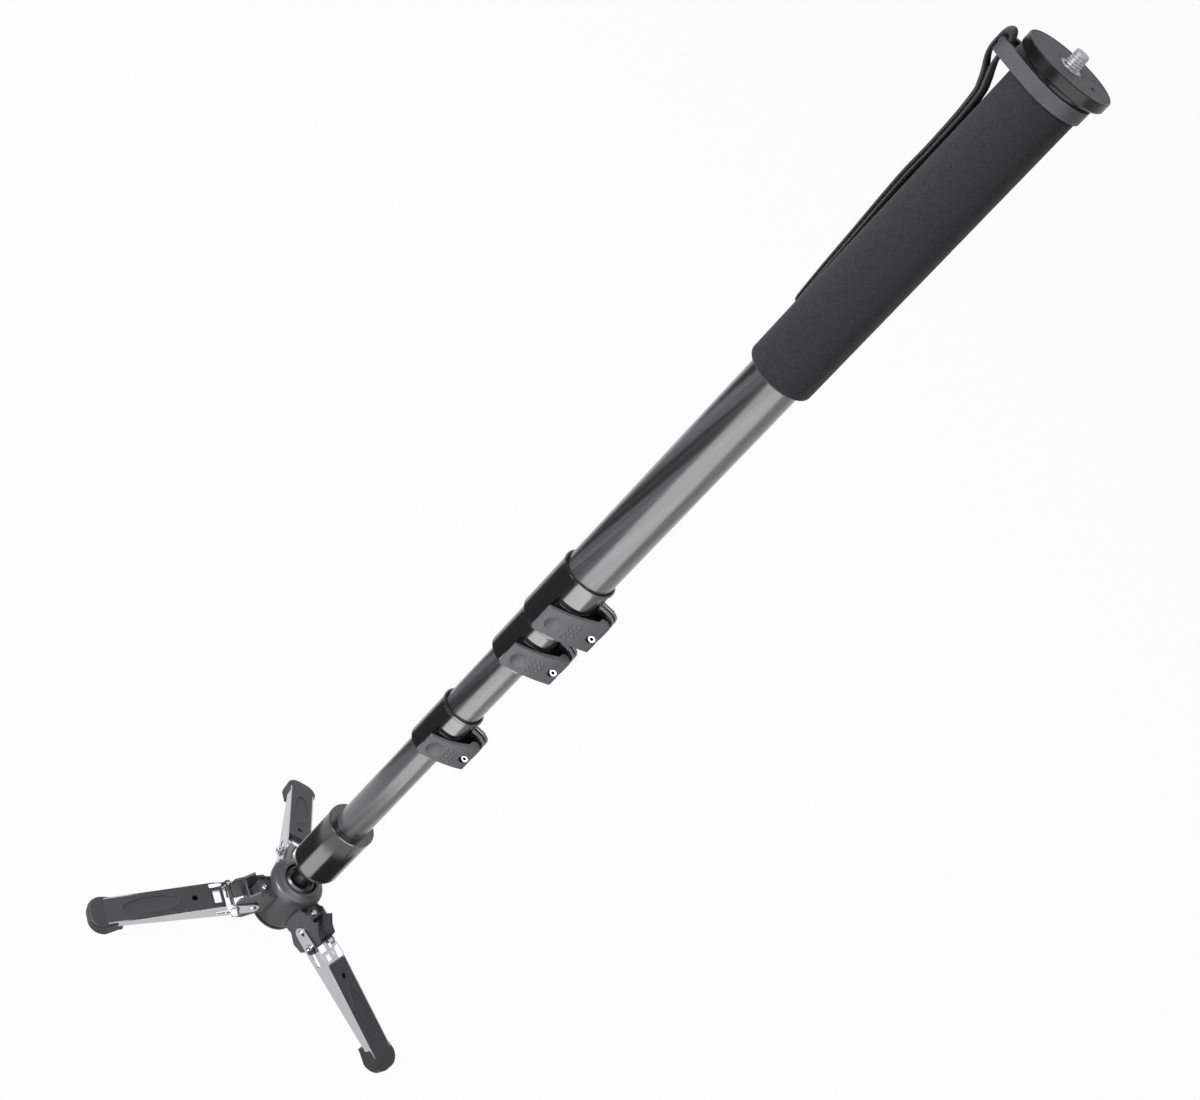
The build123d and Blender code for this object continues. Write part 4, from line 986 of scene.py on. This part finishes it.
    def card(self, name, radius, heights, turns, strength):
        """A curved card round the pole that only reflections see, as a studio's cards."""
        bm = bmesh.new()
        rows = [[bm.verts.new((radius * math.sin(a), -radius * math.cos(a), height))
                 for a in sweep(*turns, self.CARD_STEPS)] for height in heights]
        skin(bm, rows)
        mesh = bpy.data.meshes.new(name)
        bm.to_mesh(mesh)
        bm.free()
        holder = bpy.data.objects.new(name, mesh)
        bpy.context.scene.collection.objects.link(holder)
        holder.visible_camera = holder.visible_diffuse = holder.visible_shadow = False
        holder.visible_transmission = holder.visible_volume_scatter = False
        material, tree, output = new_material(name)
        glow = add(tree, "ShaderNodeEmission", inputs={"Color": self.WHITE, "Strength": strength})
        tree.links.new(glow.outputs[0], output.inputs["Surface"])
        mesh.materials.append(material)

    @staticmethod
    def lamp(name, place, target, size, power):
        """A rectangular soft light. The top one isn't mirrored: it would pale the plate's top."""
        light = bpy.data.lights.new(name, "AREA")
        light.shape, light.size, light.size_y, light.energy = "RECTANGLE", size[0], size[1], power
        holder = bpy.data.objects.new(name, light)
        holder.location = place
        holder.rotation_euler = (Vector(target) - Vector(place)).to_track_quat("-Z", "Y").to_euler()
        holder.visible_camera = False
        holder.visible_glossy = name != "top"
        bpy.context.scene.collection.objects.link(holder)

    def camera(self, scene):
        """The photograph's view."""
        camera = bpy.data.cameras.new("camera")
        camera.sensor_width = self.SENSOR
        camera.lens = self.SENSOR * self.FOCAL_PIXELS / self.PICTURE_PIXELS
        holder = bpy.data.objects.new("camera", camera)
        yaw, pitch, roll = (math.radians(a) for a in self.YAW_PITCH_ROLL)
        level = math.cos(pitch)
        ahead = Vector((math.sin(yaw) * level, math.cos(yaw) * level, -math.sin(pitch)))
        right = ahead.cross(Vector((0, 0, 1))).normalized()
        above = right.cross(ahead)
        side = right * math.cos(roll) + above * math.sin(roll)
        top = above * math.cos(roll) - right * math.sin(roll)
        turn = Matrix((side, top, -ahead)).transposed().to_4x4()
        holder.matrix_world = Matrix.Translation(self.CAMERA_PLACE) @ turn
        scene.collection.objects.link(holder)
        scene.camera = holder


class MONOPOD_PT_panel(Panel):
    """Lists the sizes, the colours and the pieces in the 3D view's sidebar"""

    bl_label = "Monopod"
    bl_idname = "MONOPOD_PT_panel"
    bl_space_type = "VIEW_3D"
    bl_region_type = "UI"
    bl_category = "Monopod"

    def draw(self, context):
        layout = self.layout
        for group in (context.scene.monopod_sizes, context.scene.monopod_colours):
            for name in type(group).__annotations__:
                layout.prop(group, name)
        for step in STEPS:
            layout.operator(step.bl_idname)


STEPS = (MONOPOD_OT_materials, MONOPOD_OT_camera_screw, MONOPOD_OT_levers, MONOPOD_OT_collars,
         MONOPOD_OT_grip, MONOPOD_OT_strap, MONOPOD_OT_cover_details, MONOPOD_OT_stage)
CLASSES = (MonopodSizes, MonopodColours, *STEPS, MONOPOD_PT_panel)


def register():
    """Adds the classes and hangs the settings on the scene."""
    for one in CLASSES:
        bpy.utils.register_class(one)
    bpy.types.Scene.monopod_sizes = PointerProperty(type=MonopodSizes)
    bpy.types.Scene.monopod_colours = PointerProperty(type=MonopodColours)


def unregister():
    """Takes the settings and the classes away again."""
    del bpy.types.Scene.monopod_colours
    del bpy.types.Scene.monopod_sizes
    for one in reversed(CLASSES):
        bpy.utils.unregister_class(one)


def main():
    """Builds every group of pieces in order."""
    register()
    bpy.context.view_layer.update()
    bpy.ops.monopod.materials()
    bpy.ops.monopod.camera_screw()
    bpy.ops.monopod.levers()
    bpy.ops.monopod.collars()
    bpy.ops.monopod.grip()
    bpy.ops.monopod.strap()
    bpy.ops.monopod.cover_details()
    bpy.ops.monopod.stage()


if __name__ == "__main__":
    main()
